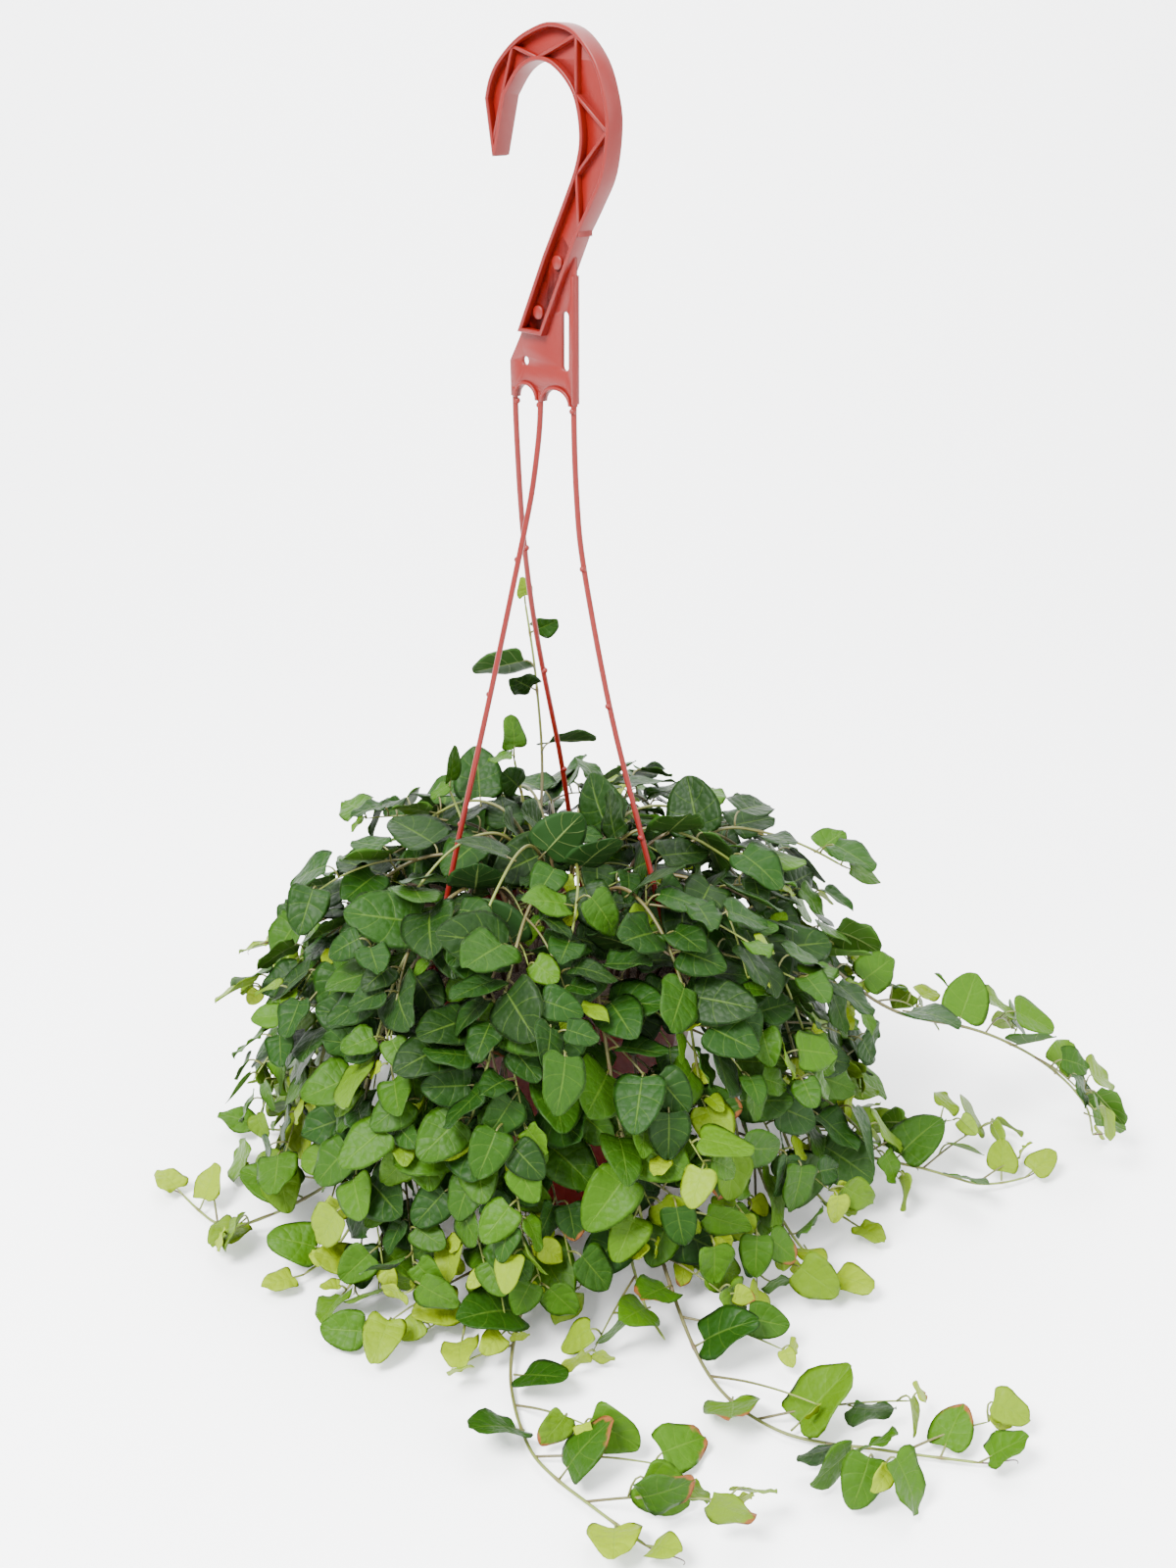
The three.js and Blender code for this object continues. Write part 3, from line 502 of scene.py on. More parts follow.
def add_leaf(body, leaf, tone, draw):
    """A thin closed blade with its stalk. Both faces share the blade's edge."""
    points, height = leaf_grid(leaf, draw)
    normal = leaf["normal"]
    rows, columns = points.shape[:2]
    uv = np.stack(np.broadcast_arrays(LEAF_ROWS[:, None], 0.5 + 0.5 * LEAF_COLUMNS[None]), -1)
    top = body.add(points.reshape(-1, 3), uv.reshape(-1, 2), tone).reshape(rows, columns)
    depth = LEAF_THICKNESS + MIDRIB_DEPTH * (np.abs(LEAF_COLUMNS[1:-1]) < 0.1)
    under = points[:, 1:-1] - (depth * (1.1 - LEAF_ROWS[:, None] ** 3))[..., None] * normal
    under = body.add(under.reshape(-1, 3), uv[:, 1:-1].reshape(-1, 2), tone).reshape(rows, columns - 2)
    bottom = np.hstack([top[:, :1], under, top[:, -1:]])
    notch_at = leaf["base"] + STALK * leaf["along"]
    tip_height = height[-1, columns // 2]
    tip_at = notch_at + leaf["length"] * leaf["along"] + tip_height * 1.06 * normal
    notch, tip = body.add(np.array([notch_at, tip_at]), np.array([[0, 0.5], [1, 0.5]]), tone)
    for numbers, material, turned in ((top, LEAF_TOP, True), (bottom, LEAF_UNDERSIDE, False)):
        body.grid(numbers, material, turned=turned)
        body.fan(notch, numbers[0], material, not turned)
        body.fan(tip, numbers[-1], material, turned)
    foot = leaf.get("foot", leaf["base"])
    end = notch_at + 1.2 * leaf["along"] - 0.3 * normal
    bend = notch_at - 0.45 * np.linalg.norm(notch_at - foot) * leaf["along"] - 0.3 * normal
    shares = np.linspace(0, 1, STALK_STEPS)[:, None]
    way = (1 - shares) ** 2 * foot + 2 * shares * (1 - shares) * bend + shares ** 2 * end
    stalk_tone = np.array([0.55 + 0.35 * tone[0], tone[1], 0.0, 1.0])
    tube(body, way, np.linspace(0.55, 0.4, STALK_STEPS), 5, STEM_BARK, np.tile(stalk_tone, (STALK_STEPS, 1)))


def leaf_draw(random, age):
    """How one leaf's blade departs from the plain one."""
    return dict(
        wide=1.0 + 0.13 * random(), waves=1.6 + 1.2 * random(), phase=random(), wave=(0.4 + 1.3 * random()) * age,
        fold=(random() - 0.5) * 0.26, curl=(random() - 0.45) * 0.34, droop=0.35 * random() * age)


def shade_of(leaf, stem, random):
    """How bright a leaf is, from the dark crown to the yellow-green fringe and tips."""
    x, y, z = leaf["base"]
    radius = math.hypot(x, y)
    fringe = 0.02 + 0.36 * min(1, radius / 170) + 0.34 * (1 - min(1, z / 150))
    young = max(0, 1 - (len(stem["path"]) - 1 - leaf["k"]) / 3)
    small = 0.95 * max(0, 1 - leaf["length"] / 16)
    return min(1, max(0, fringe * 0.85 + 0.28 * young + small + 0.5 * (random() - 0.5)))


def fine_stem(body, stem, thick, thin, sunk=True):
    """A smooth round stem with a swelling at each leaf."""
    path = stem["path"]
    start = [stem["root"] - 6 * UP] if sunk else []
    line = np.array(even_path(start + list(path), 2.5))
    share = np.linspace(0, 1, len(line))
    bases = np.array([leaf["base"] for leaf in stem["leaves"]] or [path[-1]])
    near = np.linalg.norm(line[:, None] - bases[None], axis=-1).min(axis=1)
    swell = np.exp(-(near / 1.7) ** 2)
    radii = (thick + (thin - thick) * share ** 1.2) * (1 + NODE_SWELL * swell)
    radii[-1] *= 0.5
    young = stem.get("young", 0.0)
    tones = np.stack([young + (1 - young) * share, 0 * share, swell, 1 + 0 * share], axis=1)
    tube(body, line, radii, STEM_SIDES, STEM_BARK, tones)


def loose_leaf(stem, k, size, random):
    """A leaf on a long stalk that turns its face out of the mound, and its tip out and down."""
    path = stem["path"]
    after = path[min(k + 1, len(path) - 1)]
    foot = path[k] + (after - path[k]) * random()
    along, outward = outward_at(path, k)
    side = unit(np.cross(outward, along)) * (1 if random() < 0.5 else -1)
    radial = np.array([foot[0], foot[1], 0.0]) / (math.hypot(foot[0], foot[1]) + 20)
    spread = np.array([random(), random(), random()]) - 0.5
    high = min(1, max(0, (foot[2] - 40) / 110))
    face = unit((1.1 - 0.5 * high) * radial + (0.35 + 0.9 * high) * UP + 1.5 * spread)
    heading = 0.6 * radial - 0.6 * UP + (0.2 + 1.3 * random()) * side + 0.35 * along
    forward = unit(heading - face * (heading @ face))
    reach = LONG_STALK * min(1, size) * (0.6 + 0.7 * random())
    notch = foot + reach * unit(0.6 * outward + 0.5 * face + 0.6 * side + 0.35 * along)
    length = LEAF_LENGTH * size * (0.62 + 0.36 * random())
    return dict(base=notch - STALK * forward, along=forward, normal=face, across=np.cross(face, forward),
                length=length, k=k, foot=foot)


def twig_from(stem, k, side, length, random):
    """A side shoot that leaves the stem at step k, arcs over and hangs."""
    along, outward = outward_at(stem["path"], k)
    sideways = np.cross(outward, along) * side
    angle = 0.45 + 0.7 * random()
    level = along * math.cos(angle) + sideways * math.sin(angle)
    rise = 0.1 + 0.5 * random()
    sag = 0.15 + 0.6 * random() * min(1, max(0, stem["path"][k][2] / 90))
    start = stem["path"][k]
    points = [start]
    for share in (0.35, 0.7, 1.0):
        point = start + length * share * (level * math.cos(rise) + outward * math.sin(rise))
        points.append(point - sag * length * share * share * UP)
    path = even_path(points, TWIG_STEP)
    return dict(name="twig", path=path, leaves=[], size=0.6 + 0.16 * random(), young=0.45)


def is_free(foliage, path):
    points = np.array(path[1:])
    inside = (points < PLANT_LOW).any() or (points > PLANT_HIGH).any()
    if inside or (points[:, 2] < 4).any() or in_pot_or_soil(points).any():
        return False
    return foliage.rods.distances(points[1:]).min() > TWIG_GAP


def grow_more(stems, foliage):
    """Side shoots with small leaves, then loose leaves on stems and side shoots alike."""
    shoots = 0
    for stem in stems:
        stem["twigs"] = []
        if stem["name"].startswith("upright"):
            continue
        for k in range(2, len(stem["path"]) - 1, TWIG_EVERY):
            random = randoms_from(stem["index"] * 1000 + k + 250)
            for side in (1, -1, 1, -1, 1, -1):
                twig = twig_from(stem, k, side, TWIG_LENGTH * (0.5 + random()), random)
                if is_free(foliage, twig["path"]):
                    shoots += 1
                    twig["index"] = FIRST_TWIG + shoots
                    foliage.rods.add(twig["path"], twig["index"])
                    stem["twigs"].append(twig)
                    break
    for rounds in range(LEAF_ROUNDS):
        for stem in stems:
            sparse = stem["name"].startswith(SPARSE)
            if sparse and rounds > 0:
                continue
            for branch in [stem] + stem["twigs"]:
                own = branch is stem
                for k in range(2 if own else 1, len(branch["path"])):
                    random = randoms_from(branch["index"] * 1000 + k + 400 + rounds * 60)
                    size = 1.08 if own else 0.8 + 0.3 * random() - 0.3 * k / len(branch["path"])
                    if sparse and own and k % 3:
                        continue
                    ceiling = math.inf if stem["name"].startswith("upright") else MOUND_TOP
                    foliage.try_leaf(
                        branch, lambda: loose_leaf(branch, k, size, random), MORE_TRIES, MORE_EASE, ceiling)
    for stem in stems:
        for branch in [stem] + stem["twigs"]:
            random = randoms_from(branch["index"] * 1000 + 900)
            for _ in range(YOUNG_LEAVES):
                foliage.try_leaf(branch, lambda: loose_leaf(branch, len(branch["path"]) - 1, YOUNG_SIZE, random),
                                 MORE_TRIES, YOUNG_EASE)


LONG_STALK = 8.5
TWIG_LENGTH = 46
TWIG_STEP = 8
TWIG_EVERY = 2
TWIG_GAP = 2.6
FIRST_TWIG = 1000
LEAF_ROUNDS = 2
SPARSE = ("upright", "far_", "front_", "right_", "left_")
MORE_TRIES = 7
MORE_EASE = 0.5
YOUNG_LEAVES = 3
YOUNG_SIZE = 0.42
YOUNG_EASE = 0.3
PLANT_LOW = np.array([-196.0, -272.0, 3.0])
PLANT_HIGH = np.array([276.0, 180.0, 172.0])
MOUND_TOP = 184


def dry_tail(body, stem):
    """The bare brown end of a stem, thin and curled."""
    end = stem["path"][-1]
    along = unit((end - stem["path"][-2]) * np.array([1, 1, 0.3]))
    sideways = np.cross(UP, along)
    shares = np.linspace(0, 1, TAIL_STEPS)
    centres = end + TAIL_LENGTH * (np.outer(shares * (1 - 0.3 * shares ** 3), along)
                                   + np.outer(0.3 * np.sin(2.6 * shares) * shares, sideways))
    centres[:, 2] = np.maximum(end[2] - 0.35 * TAIL_LENGTH * shares ** 2 * min(1, end[2] / 20), 1.0)
    tube(body, centres, np.linspace(0.4, 0.18, TAIL_STEPS), STEM_SIDES, STEM_BARK,
         np.tile([0.0, 0.0, 0.8, 1.0], (TAIL_STEPS, 1)))


TAIL_LENGTH = 22
TAIL_STEPS = 14


def make_stem(stem, materials):
    """The fine piece of one leafy stem with its side shoots."""
    body = Body()
    random = randoms_from(stem["index"] + 77)
    fine_stem(body, stem, STEM_THICK, STEM_THIN)
    if stem["name"].startswith(SPARSE[1:]):
        dry_tail(body, stem)
    for branch in [stem] + stem["twigs"]:
        if branch is not stem:
            fine_stem(body, branch, STEM_THIN, 0.35, sunk=False)
        for leaf in branch["leaves"]:
            shade = shade_of(leaf, branch, random)
            dry = 1.0 if random() < (0.3 if stem["name"].startswith("front_") else 0.0) else 0.0
            tone = np.array([shade, random(), dry, 1.0])
            add_leaf(body, leaf, tone, leaf_draw(random, min(1, leaf["length"] / 20)))
    piece = body.make("fine_" + stem["name"], materials)
    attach(piece, "root")
    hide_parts(stem["name"])
    kind = stem["name"].split("_")[0]
    if kind in ("crown", "shoulder"):
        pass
    elif kind in ("side", "upright") or stem["name"] == "far_left":
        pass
    else:
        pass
    return piece


# Hanger outlines as [u, z] in the hanger's own plane
HOOK_OUTER = [
    (-37.6, 481.5), (-41.5, 504.5), (-38.8, 512), (-33.5, 519), (-23.6, 526.5), (-13.3, 531), (-1.5, 533.3),
    (12, 530), (23.5, 519.5), (29.5, 506), (31.2, 494), (28.4, 477), (21.4, 464.5), (13, 452), (-8.6, 410)]
HOOK_INNER = [
    (-23.7, 410.5), (-7.4, 443), (5.3, 465.7), (12.4, 480), (14.6, 492), (10.9, 506.5), (0.8, 516.1),
    (-9.9, 519), (-20.5, 515), (-29.2, 505.5), (-35.8, 482)]
RIB_NODES = [
    (-37.5, 488), (-24.8, 524.5), (-9.9, 520), (12.4, 528.5), (12.2, 506.3), (29.6, 493), (12.3, 476.3), (14, 452)]
PLATE_RIGHT = [(8.8, 443), (8.8, PLATE_FOOT), (5.2, PLATE_FOOT)]
PLATE_LEFT = [(-32, PLATE_FOOT), (-32.2, 397), (-25.6, 408), (-21, 417), (-6, 446), (2, 452)]
ARCHES = [(5.2, -11.2), (-15.6, -28.2)]
ARCH_RISE = 6
SLOT_U, SLOT_LOW, SLOT_HIGH, SLOT_RADIUS = 2.8, 398, 419, 1.95
PEEP_U, PEEP_Z, PEEP_RADIUS = -22.2, 397.8, 1.9
BOSSES = [(-1.1, 440.7), (-13, 419.2)]
BOSS_RADIUS = 3
FLANGE_DEPTH, FLANGE_WIDTH, WEB, RIB, RAISED = 8.7, 1.8, 1.9, 1.5, 4
CORNER = 0.45
HOOK_POINTS = 6
WIRE_THICK = 1.3
NUB_RADIUS = 1.5
NUBS = [3, 70, 135, 197, 249]
KNOB_RADIUS, KNOB_LENGTH = 2, 4.2
PLAIN_TONE = [0.0, 0.0, 0.0, 1.0]


def in_plane(flat, depth):
    """Points of the hanger's plane, moved off it by a depth."""
    turn = HANGER_TURN * math.pi / 180
    across = np.array([math.cos(turn), -math.sin(turn), 0.0])
    off = np.array([-math.sin(turn), -math.cos(turn), 0.0])
    flat = np.asarray(flat, float)
    return flat[:, :1] * across + flat[:, 1:] * UP + np.reshape(depth, (-1, 1)) * off


def smooth_line(points, per_span):
    """A smooth curve through flat points."""
    points = np.array(points, float)
    line = []
    for i in range(len(points) - 1):
        p, q, r, s = (points[max(i - 1, 0)], points[i], points[i + 1], points[min(i + 2, len(points) - 1)])
        for j in range(per_span):
            t = j / per_span
            line.append(0.5 * (2 * q + (r - p) * t + (2 * p - 5 * q + 4 * r - s) * t * t
                               + (3 * q - p - 3 * r + s) * t ** 3))
    return np.array(line + [points[-1]])


def round_points(u, z, radius, count, start=0.0, end=2 * math.pi):
    angles = start + (end - start) * np.arange(count) / count
    return np.stack([u + radius * np.cos(angles), z + radius * np.sin(angles)], axis=1)


def turned_inward(loop):
    """For each point of a closed loop, the way inward whose length keeps the rim's width."""
    before = loop - np.roll(loop, 1, axis=0)
    before /= np.linalg.norm(before, axis=1)[:, None]
    after = np.roll(before, -1, axis=0)
    area = np.sum(loop[:, 0] * np.roll(loop[:, 1], -1) - np.roll(loop[:, 0], -1) * loop[:, 1])
    total = np.stack([-before[:, 1] - after[:, 1], before[:, 0] + after[:, 0]], axis=1)
    return math.copysign(1, area) * total / (1 + np.sum(before * after, axis=1))[:, None]


def rounded_rim(body, loop, width, depth):
    """A closed band along the inside of a loop, with rounded edges."""
    inward = turned_inward(loop)
    section = []
    for side_in, side_out, first in ((1, 1, 0), (0, 1, 90), (0, -1, 180), (1, -1, 270)):
        centre_in = width - CORNER if side_in else CORNER
        centre_out = side_out * (depth / 2 - CORNER)
        for degrees in (first, first + 45, first + 90):
            angle = math.radians(degrees)
            section.append((centre_in + CORNER * math.cos(angle), centre_out + CORNER * math.sin(angle)))
    rows = [in_plane(loop + inward * reach, np.full(len(loop), off)) for reach, off in section]
    rows.append(rows[0])
    points = np.stack(rows[:-1], axis=1)
    numbers = body.add(points.reshape(-1, 3), np.zeros((points.shape[0] * points.shape[1], 2)), PLAIN_TONE)
    numbers = numbers.reshape(points.shape[:2])
    body.grid(np.vstack([numbers, numbers[:1]]), 0, closed=True)


def flat_slab(body, loops, depth, corner=0.3):
    """A slab between flat loops, of which all but the first are holes, with a bevel round its edges."""
    loops = [np.asarray(loop, float) for loop in loops]
    shrunk = [loop + turned_inward(loop) * (corner if i == 0 else -corner) for i, loop in enumerate(loops)]
    triangles = tessellate_polygon([[Vector((u, z, 0)) for u, z in loop] for loop in shrunk])
    starts = np.cumsum([0] + [len(loop) for loop in loops])
    walls = []
    for sign in (1, -1):
        flat = np.vstack(shrunk)
        cap = body.add(in_plane(flat, np.full(len(flat), sign * depth / 2)), np.zeros((len(flat), 2)), PLAIN_TONE)
        body.add_faces([[int(cap[i]) for i in triangle] for triangle in triangles], 0)
        wall = np.vstack(loops)
        wall = in_plane(wall, np.full(len(wall), sign * (depth / 2 - corner)))
        wall = body.add(wall, np.zeros((len(wall), 2)), PLAIN_TONE)
        walls.append(wall)
        for low, high in zip(starts, starts[1:]):
            body.grid(np.stack([cap[low:high], wall[low:high]]), 0, closed=True)
    for low, high in zip(starts, starts[1:]):
        body.grid(np.stack([walls[0][low:high], walls[1][low:high]]), 0, closed=True)


def flat_bar(body, start, end, width, depth):
    """A bevelled bar between two points of the hanger's plane."""
    (u0, z0), (u1, z1) = start, end
    way = np.array([u1 - u0, z1 - z0])
    way = way / np.linalg.norm(way) * width / 2
    flat_slab(body, [np.array([
        (u0 - way[1], z0 + way[0]), (u0 + way[1], z0 - way[0]),
        (u1 + way[1], z1 - way[0]), (u1 - way[1], z1 + way[0])])], depth)


def arch(ends, grow=0.0, count=12):
    middle, half = (ends[0] + ends[1]) / 2, (ends[0] - ends[1]) / 2 + grow
    angles = np.linspace(0, math.pi, count)
    return np.stack([middle + half * np.cos(angles), PLATE_FOOT + (ARCH_RISE + grow) * np.sin(angles)], axis=1)


def add_hook(body):
    outer = smooth_line(HOOK_OUTER[1:-1], HOOK_POINTS)
    inner = smooth_line(HOOK_INNER[1:-1], HOOK_POINTS)
    loop = np.vstack([[HOOK_OUTER[0]], outer, [HOOK_OUTER[-1]], [HOOK_INNER[0]], inner, [HOOK_INNER[-1]]])
    rounded_rim(body, loop, FLANGE_WIDTH, FLANGE_DEPTH)
    flat_slab(body, [loop + 0.6 * turned_inward(loop)], WEB)
    tip = np.vstack([[HOOK_OUTER[0]], [(-38.4, 486)], [(-35.2, 486)], [HOOK_INNER[-1]]])
    flat_slab(body, [tip], FLANGE_DEPTH - 0.4)
    for start, end in zip(RIB_NODES, RIB_NODES[1:]):
        flat_bar(body, start, end, RIB, FLANGE_DEPTH - 1)


def add_plate(body):
    edge = np.vstack([PLATE_RIGHT, arch(ARCHES[0])[1:-1], [(-11.2, PLATE_FOOT), (-15.6, PLATE_FOOT)],
                      arch(ARCHES[1])[1:-1], [(-28.2, PLATE_FOOT)], PLATE_LEFT])
    slot = np.vstack([round_points(SLOT_U, SLOT_HIGH, SLOT_RADIUS, 8, 0, math.pi),
                      round_points(SLOT_U, SLOT_LOW, SLOT_RADIUS, 8, math.pi, 2 * math.pi)])
    flat_slab(body, [edge, slot, round_points(PEEP_U, PEEP_Z, PEEP_RADIUS, 16)], WEB)
    flat_bar(body, (8, 436), (8, PLATE_FOOT + 1), RIB, RAISED)
    for ends in ARCHES:
        flat_slab(body, [np.vstack([arch(ends, RIB), arch(ends)[::-1]])], RAISED, 0.25)
    for u, z in BOSSES:
        flat_slab(body, [round_points(u, z, BOSS_RADIUS, 20)], RAISED)


def add_round(body, centres, radii, sides=12):
    tube(body, centres, radii, sides, 0, np.tile(PLAIN_TONE, (len(radii), 1)))


def add_wires(body):
    """Round wires with the small bumps that the mould left along them, and a knob under the rim."""
    bulge = np.linspace(-1, 1, 7)
    for number in range(len(WIRES)):
        line = np.array(even_path(list(wire_path(number)), 3))
        add_round(body, line, np.full(len(line), WIRE_THICK))
        step = np.linalg.norm(line[1] - line[0])
        for distance in NUBS:
            i = min(len(line) - 2, int(round((distance + 4) / step)))
            way = unit(line[i + 1] - line[i])
            centre = line[i] + 0.9 * unit(np.cross(way, UP))
            add_round(body, centre + np.outer(bulge * NUB_RADIUS, way),
                      NUB_RADIUS * np.sqrt(np.maximum(1 - bulge ** 2, 0.04)))
        foot = line[-1]
        top = POT_HEIGHT - RIM_PLATE - GAP
        heights = [foot[2] + 1, top, top, top - 0.5, top - KNOB_LENGTH + 1, top - KNOB_LENGTH]
        radii = [WIRE_THICK, WIRE_THICK, KNOB_RADIUS - 0.4, KNOB_RADIUS, KNOB_RADIUS, KNOB_RADIUS - 0.8]
        centres = np.array([[foot[0], foot[1], z] for z in heights])
        centres[2, 2] -= 0.05
        add_round(body, centres, radii)


def make_hanger(material):
    body = Body()
    add_hook(body)
    add_plate(body)
    add_wires(body)
    piece = body.make("fine_hanger", [material])
    face_outward(piece)
    piece.data.set_sharp_from_angle(angle=math.radians(50))
    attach(piece, "root")
    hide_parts("hanger")


class Nodes:
    """Short calls that make and join a material's nodes."""

    def __init__(self, name, roughness=0.5):
        self.material = bpy.data.materials.new(name)
        self.material.use_nodes = True
        self.tree = self.material.node_tree
        self.shader = self.tree.nodes["Principled BSDF"]
        self.shader.inputs["Roughness"].default_value = roughness

    def join(self, value, socket):
        if isinstance(value, bpy.types.NodeSocket):
            self.tree.links.new(value, socket)
        elif value is not None:
            if hasattr(socket.default_value, "__len__") and not hasattr(value, "__len__"):
                value = [value] * len(socket.default_value)
            socket.default_value = value

    def add(self, kind, inputs=(), **settings):
        node = self.tree.nodes.new(kind)
        for key, value in settings.items():
            setattr(node, key, value)
        for key, value in dict(inputs).items():
            self.join(value, node.inputs[key])
        return node

    def math(self, operation, a, b=None, c=None, clamp=False):
        node = self.add("ShaderNodeMath", operation=operation, use_clamp=clamp)
        for value, socket in zip((a, b, c), node.inputs):
            self.join(value, socket)
        return node.outputs[0]

    def mix(self, factor, a, b, blend="MIX"):
        node = self.add("ShaderNodeMix", data_type="RGBA", blend_type=blend)
        self.join(factor, node.inputs[0])
        self.join(a, node.inputs[6])
        self.join(b, node.inputs[7])
        return node.outputs[2]

    def noise(self, scale, detail=3.0, vector=None, roughness=0.5):
        node = self.add("ShaderNodeTexNoise", {"Scale": scale, "Detail": detail, "Roughness": roughness})
        self.join(vector if vector is not None else self.position(), node.inputs["Vector"])
        return node.outputs[0]

    def position(self):
        return self.add("ShaderNodeTexCoord").outputs["Object"]

    def ramp(self, factor, stops):
        node = self.add("ShaderNodeValToRGB")
        ramp = node.color_ramp
        while len(ramp.elements) < len(stops):
            ramp.elements.new(0.5)
        for element, (place, color) in zip(ramp.elements, stops):
            element.position = place
            element.color = (*color, 1)
        self.join(factor, node.inputs[0])
        return node.outputs[0]

    def step(self, value, low, high):
        """0 below low, 1 above high, smooth between."""
        node = self.add("ShaderNodeMapRange", interpolation_type="SMOOTHSTEP", clamp=True)
        self.join(value, node.inputs["Value"])
        node.inputs["From Min"].default_value = low
        node.inputs["From Max"].default_value = high
        return node.outputs[0]

    def bump(self, height, distance, strength=1.0, normal=None):
        node = self.add("ShaderNodeBump", {"Height": height, "Distance": distance, "Strength": strength})
        self.join(normal, node.inputs["Normal"])
        return node.outputs[0]

    def color(self, socket):
        self.join(socket, self.shader.inputs["Base Color"])

    def normal(self, socket):
        self.join(socket, self.shader.inputs["Normal"])


def leaf_coordinates(n):
    """The blade's share along it and across it, and the leaf's tone."""
    split = n.add("ShaderNodeSeparateXYZ", {"Vector": n.add("ShaderNodeUVMap", uv_map="blade").outputs[0]})
    tone = n.add("ShaderNodeAttribute", attribute_name="tone")
    tones = n.add("ShaderNodeSeparateColor", {"Color": tone.outputs["Color"]})
    across = n.math("ABSOLUTE", n.math("MULTIPLY_ADD", split.outputs[1], 2.0, -1.0))
    return split.outputs[0], across, tones.outputs[0], tones.outputs[1], tones.outputs[2]


def veins_and_rim_highlight_mask(n, along, across):
    """Lines of the midrib and of the side veins, and the thin line round the rim that carries a painted edge
    highlight.
    """
    midrib = n.math("SUBTRACT", 1.0, n.step(across, 0.015, 0.06))
    bowed = n.math("POWER", across, 0.8)
    phase = n.math("MULTIPLY", n.math("MULTIPLY_ADD", bowed, -0.24, along), 5.0)
    wave = n.math("ABSOLUTE", n.math("SUBTRACT", n.math("FRACT", phase), 0.5))
    side = n.math("SUBTRACT", 1.0, n.step(wave, 0.01, 0.045))
    inner = n.math("SUBTRACT", 1.0, n.step(across, 0.75, 1.0))
    side = n.math("MULTIPLY", side, inner)
    # Mask of the thin line round the leaf's edge, where a pale painted highlight goes.
    rim = n.step(across, 0.955, 0.985)
    return midrib, side, rim, wave


def leaf_top_material():
    n = Nodes("leaf_top", 0.5)
    n.shader.inputs["Specular IOR Level"].default_value = 0.1
    along, across, shade, chance, dry = leaf_coordinates(n)
    midrib, side, rim, wave = veins_and_rim_highlight_mask(n, along, across)
    base = n.ramp(shade, [(0.0, (0.0010, 0.0085, 0.0006)), (0.35, (0.0030, 0.0210, 0.0006)),
                          (0.65, (0.0250, 0.0720, 0.0004)), (1.0, (0.140, 0.200, 0.0004))])
    patches = n.noise(260.0, 3.0)
    base = n.mix(n.math("MULTIPLY", patches, 0.25), base, n.mix(0.5, base, (0.045, 0.10, 0.004, 1)))
    lines = n.math("MAXIMUM", n.math("MULTIPLY", side, 0.3), n.math("MULTIPLY", midrib, 0.5))
    # The veins are the leaf's own pale lines; the faint pale line round the rim added here is a painted edge
    # highlight.
    lines = n.math("MAXIMUM", lines, n.math("MULTIPLY", rim, 0.2))
    pale = n.mix(0.5, base, (0.09, 0.16, 0.015, 1))
    color = n.mix(lines, base, pale)
    toward_tip = n.math("MULTIPLY_ADD", across, 0.45, along)
    browned = n.math("MULTIPLY", dry, n.step(n.math("ADD", toward_tip, n.math("MULTIPLY", patches, 0.4)), 1.2, 1.35))
    color = n.mix(browned, color, (0.13, 0.045, 0.012, 1))
    n.color(color)
    folds = n.math("POWER", n.math("MULTIPLY", wave, 2.0), 0.5)
    folds = n.math("MULTIPLY", folds, n.math("SUBTRACT", 1.0, midrib))
    cells = n.add("ShaderNodeTexVoronoi", {"Scale": 340.0})
    n.join(n.position(), cells.inputs["Vector"])
    relief = n.math("MULTIPLY_ADD", cells.outputs[0], -1.0, n.math("MULTIPLY", folds, 0.6))
    n.normal(n.bump(relief, 0.0008, 0.5))
    return n.material


def leaf_underside_material():
    n = Nodes("leaf_underside", 0.6)
    n.shader.inputs["Specular IOR Level"].default_value = 0.15
    along, across, shade, chance, dry = leaf_coordinates(n)
    midrib, side, rim, wave = veins_and_rim_highlight_mask(n, along, across)
    base = n.ramp(shade, [(0.0, (0.007, 0.028, 0.003)), (0.5, (0.025, 0.070, 0.003)), (1.0, (0.11, 0.18, 0.006))])
    lines = n.math("MAXIMUM", n.math("MULTIPLY", side, 0.6), midrib)
    n.color(n.mix(lines, base, n.mix(0.6, base, (0.15, 0.21, 0.05, 1))))
    n.normal(n.bump(lines, 0.0005, 0.8))
    return n.material


def stem_material():
    n = Nodes("stem_bark", 0.55)
    tone = n.add("ShaderNodeAttribute", attribute_name="tone")
    tones = n.add("ShaderNodeSeparateColor", {"Color": tone.outputs["Color"]})
    base = n.ramp(tones.outputs[0], [(0.0, (0.030, 0.013, 0.005)), (0.35, (0.055, 0.032, 0.008)),
                                     (0.7, (0.070, 0.080, 0.008)), (1.0, (0.12, 0.17, 0.01))])
    fleck = n.noise(1500.0, 3.0)
    base = n.mix(n.math("MULTIPLY", fleck, 0.5), base, n.mix(0.5, base, (0.035, 0.015, 0.008, 1)))
    n.color(n.mix(n.math("MULTIPLY", tones.outputs[2], 0.7), base, (0.055, 0.012, 0.004, 1)))
    n.normal(n.bump(fleck, 0.0003, 0.6))
    return n.material


def plastic_material():
    n = Nodes("terracotta_plastic", 0.42)
    n.shader.inputs["Specular IOR Level"].default_value = 0.3
    mottle = n.noise(60.0, 4.0)
    base = n.mix(mottle, (0.092, 0.0018, 0.0004, 1), (0.120, 0.0030, 0.0007, 1))
    n.color(base)
    n.normal(n.bump(n.noise(2600.0, 2.0), 0.00006, 0.5))
    return n.material


def soil_material():
    n = Nodes("potting_soil", 0.95)
    crumbs = n.add("ShaderNodeTexVoronoi", {"Scale": 420.0})
    n.join(n.position(), crumbs.inputs["Vector"])
    dust = n.noise(180.0, 5.0)
    n.color(n.mix(dust, (0.018, 0.011, 0.007, 1), (0.060, 0.038, 0.022, 1)))
    n.normal(n.bump(n.math("ADD", crumbs.outputs[0], dust), 0.002, 0.9))
    return n.material


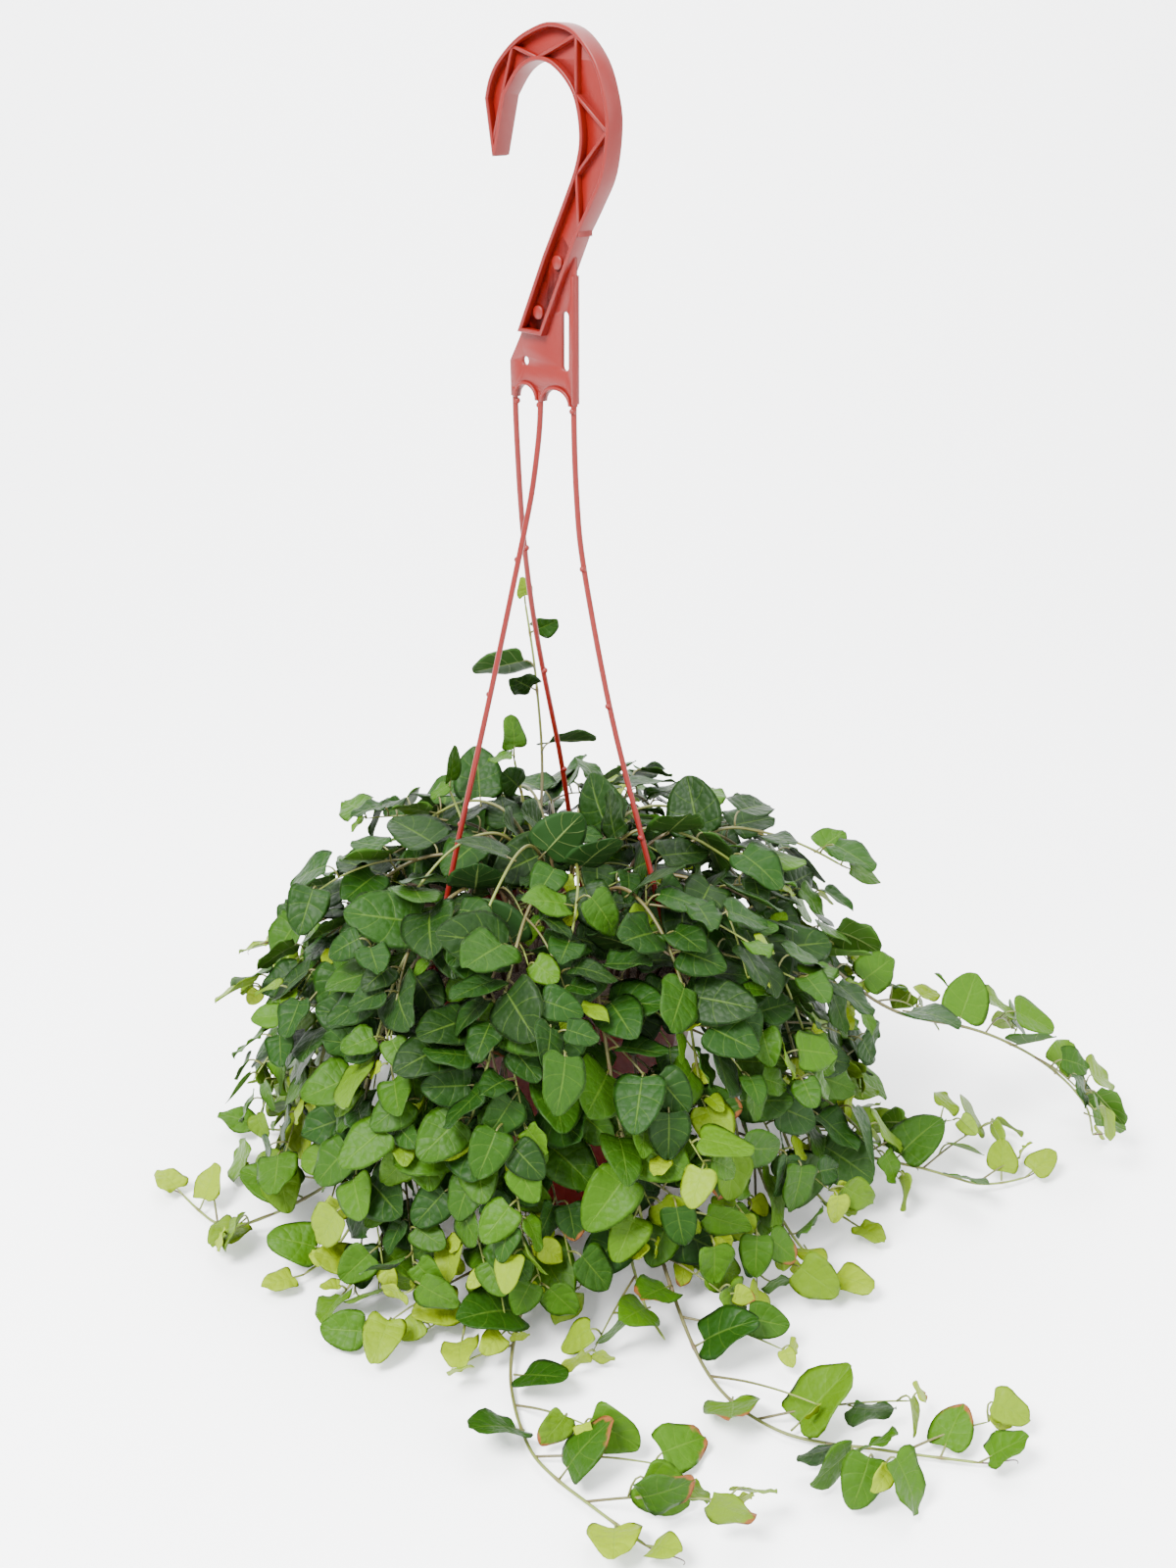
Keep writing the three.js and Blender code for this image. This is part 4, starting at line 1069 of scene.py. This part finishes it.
def floor_material():
    n = Nodes("pale_floor", 0.6)
    n.color(n.mix(n.noise(1.5, 2.0), (0.92, 0.92, 0.92, 1), (0.95, 0.95, 0.95, 1)))
    return n.material


def make_soil(material):
    """The soil with a crumbly top."""
    body = Body()
    draws = np.random.default_rng(11)
    low = FLOOR + GAP
    edge = inner_radius(SOIL_TOP) - GAP
    inner_rings = np.linspace(edge, 1.2, SOIL_RINGS)[1:]
    radii = np.concatenate([[inner_radius(low) - GAP, edge], inner_rings])
    heights = np.concatenate([[low, SOIL_TOP], [soil_height(radius) for radius in inner_rings]])
    angles = np.arange(SOIL_SIDES) * 2 * np.pi / SOIL_SIDES
    points = np.stack([np.outer(radii, np.cos(angles)), np.outer(radii, np.sin(angles)),
                       np.repeat(heights[:, None], SOIL_SIDES, axis=1)], axis=-1)
    crumbs = np.clip(draws.normal(0, CRUMB, points[2:].shape), -2 * CRUMB, 2 * CRUMB)
    crumbs[..., :2] *= np.minimum(1, radii[2:] / 20)[:, None, None]
    points[2:] += crumbs
    numbers = body.add(points.reshape(-1, 3), np.zeros((points.shape[0] * SOIL_SIDES, 2)), PLAIN_TONE)
    numbers = numbers.reshape(points.shape[:2])
    body.grid(numbers, 0, closed=True, turned=True)
    body.add_faces([numbers[0].tolist(), numbers[-1][::-1].tolist()], 0)
    piece = body.make("fine_soil", [material])
    face_outward(piece)
    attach(piece, "root")
    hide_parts("soil")


SOIL_RINGS = 44
SOIL_SIDES = 150
CRUMB = 0.45


def face_outward(piece):
    """Turns every face of a piece to its outer side."""
    bm = bmesh.new()
    bm.from_mesh(piece.data)
    bmesh.ops.recalc_face_normals(bm, faces=bm.faces)
    bm.to_mesh(piece.data)
    bm.free()


def dress(node, material):
    """A CAD node whose shape is right takes a better material."""
    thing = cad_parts[node]
    thing.data.materials.clear()
    thing.data.materials.append(material)


def make_stage():
    mesh = bpy.data.meshes.new("studio_floor")
    half, back, rise, steps = 4.0, 1.6, 3.0, 12
    rows = [(-2.5, -FLOOR_GAP), (back - 0.8, -FLOOR_GAP)]
    for i in range(1, steps + 1):
        angle = i / steps * math.pi / 2
        rows.append((back - 0.8 + 0.8 * math.sin(angle), 0.8 - 0.8 * math.cos(angle) - FLOOR_GAP))
    rows.append((back, rise))
    points = [(x, y, z) for y, z in rows for x in (-half, half)]
    faces = [(2 * i, 2 * i + 1, 2 * i + 3, 2 * i + 2) for i in range(len(rows) - 1)]
    mesh.from_pydata(points, [], faces)
    mesh.polygons.foreach_set("use_smooth", [True] * len(mesh.polygons))
    mesh.materials.append(floor_material())
    floor = bpy.data.objects.new("studio_floor", mesh)
    bpy.context.scene.collection.objects.link(floor)


FLOOR_GAP = 0.0005


def aimed(thing, place, target):
    """Puts a lamp or the camera at a place and turns it to a target."""
    thing.location = place
    way = np.array(target, float) - np.array(place, float)
    level = math.hypot(way[0], way[1])
    thing.rotation_euler = (math.atan2(level, -way[2]), 0, math.atan2(-way[0], way[1]))


def add_light(name, place, target, size, power, color=(1, 1, 1)):
    lamp = bpy.data.lights.new(name, "AREA")
    lamp.shape = "DISK"
    lamp.size = size
    lamp.energy = power
    lamp.color = color
    thing = bpy.data.objects.new(name, lamp)
    bpy.context.scene.collection.objects.link(thing)
    aimed(thing, place, target)


CAMERA_AT = (0.0111, -0.76, 0.52)
CAMERA_PITCH = 22.6
CAMERA_LENS = 40.05


def make_camera():
    camera = bpy.data.cameras.new("camera")
    camera.lens = CAMERA_LENS
    camera.sensor_width = 36
    camera.clip_start = 0.01
    thing = bpy.data.objects.new("camera", camera)
    thing.location = CAMERA_AT
    thing.rotation_euler = (math.radians(90 - CAMERA_PITCH), 0, 0)
    bpy.context.scene.collection.objects.link(thing)
    bpy.context.scene.camera = thing


def make_lights():
    world = bpy.data.worlds.new("studio")
    world.use_nodes = True
    world.node_tree.nodes["Background"].inputs[0].default_value = (0.95, 0.97, 1.0, 1)
    world.node_tree.nodes["Background"].inputs[1].default_value = 2.3
    bpy.context.scene.world = world
    target = (0, 0, 0.15)
    add_light("key", (-0.9, -1.1, 1.9), target, 0.9, 215)
    add_light("fill", (1.4, -0.9, 1.1), target, 1.6, 40)
    add_light("top", (0.2, 0.5, 2.2), target, 1.6, 55)


make_camera()
make_stage()
make_lights()
plant = plan_stems()
leaves_so_far = grow_leaves(plant)
grow_more(plant, leaves_so_far)
plant_materials = [leaf_top_material(), leaf_underside_material(), stem_material()]
for one in plant:
    make_stem(one, plant_materials)
plastic = plastic_material()
dress("pot", plastic)
make_hanger(plastic)
make_soil(soil_material())
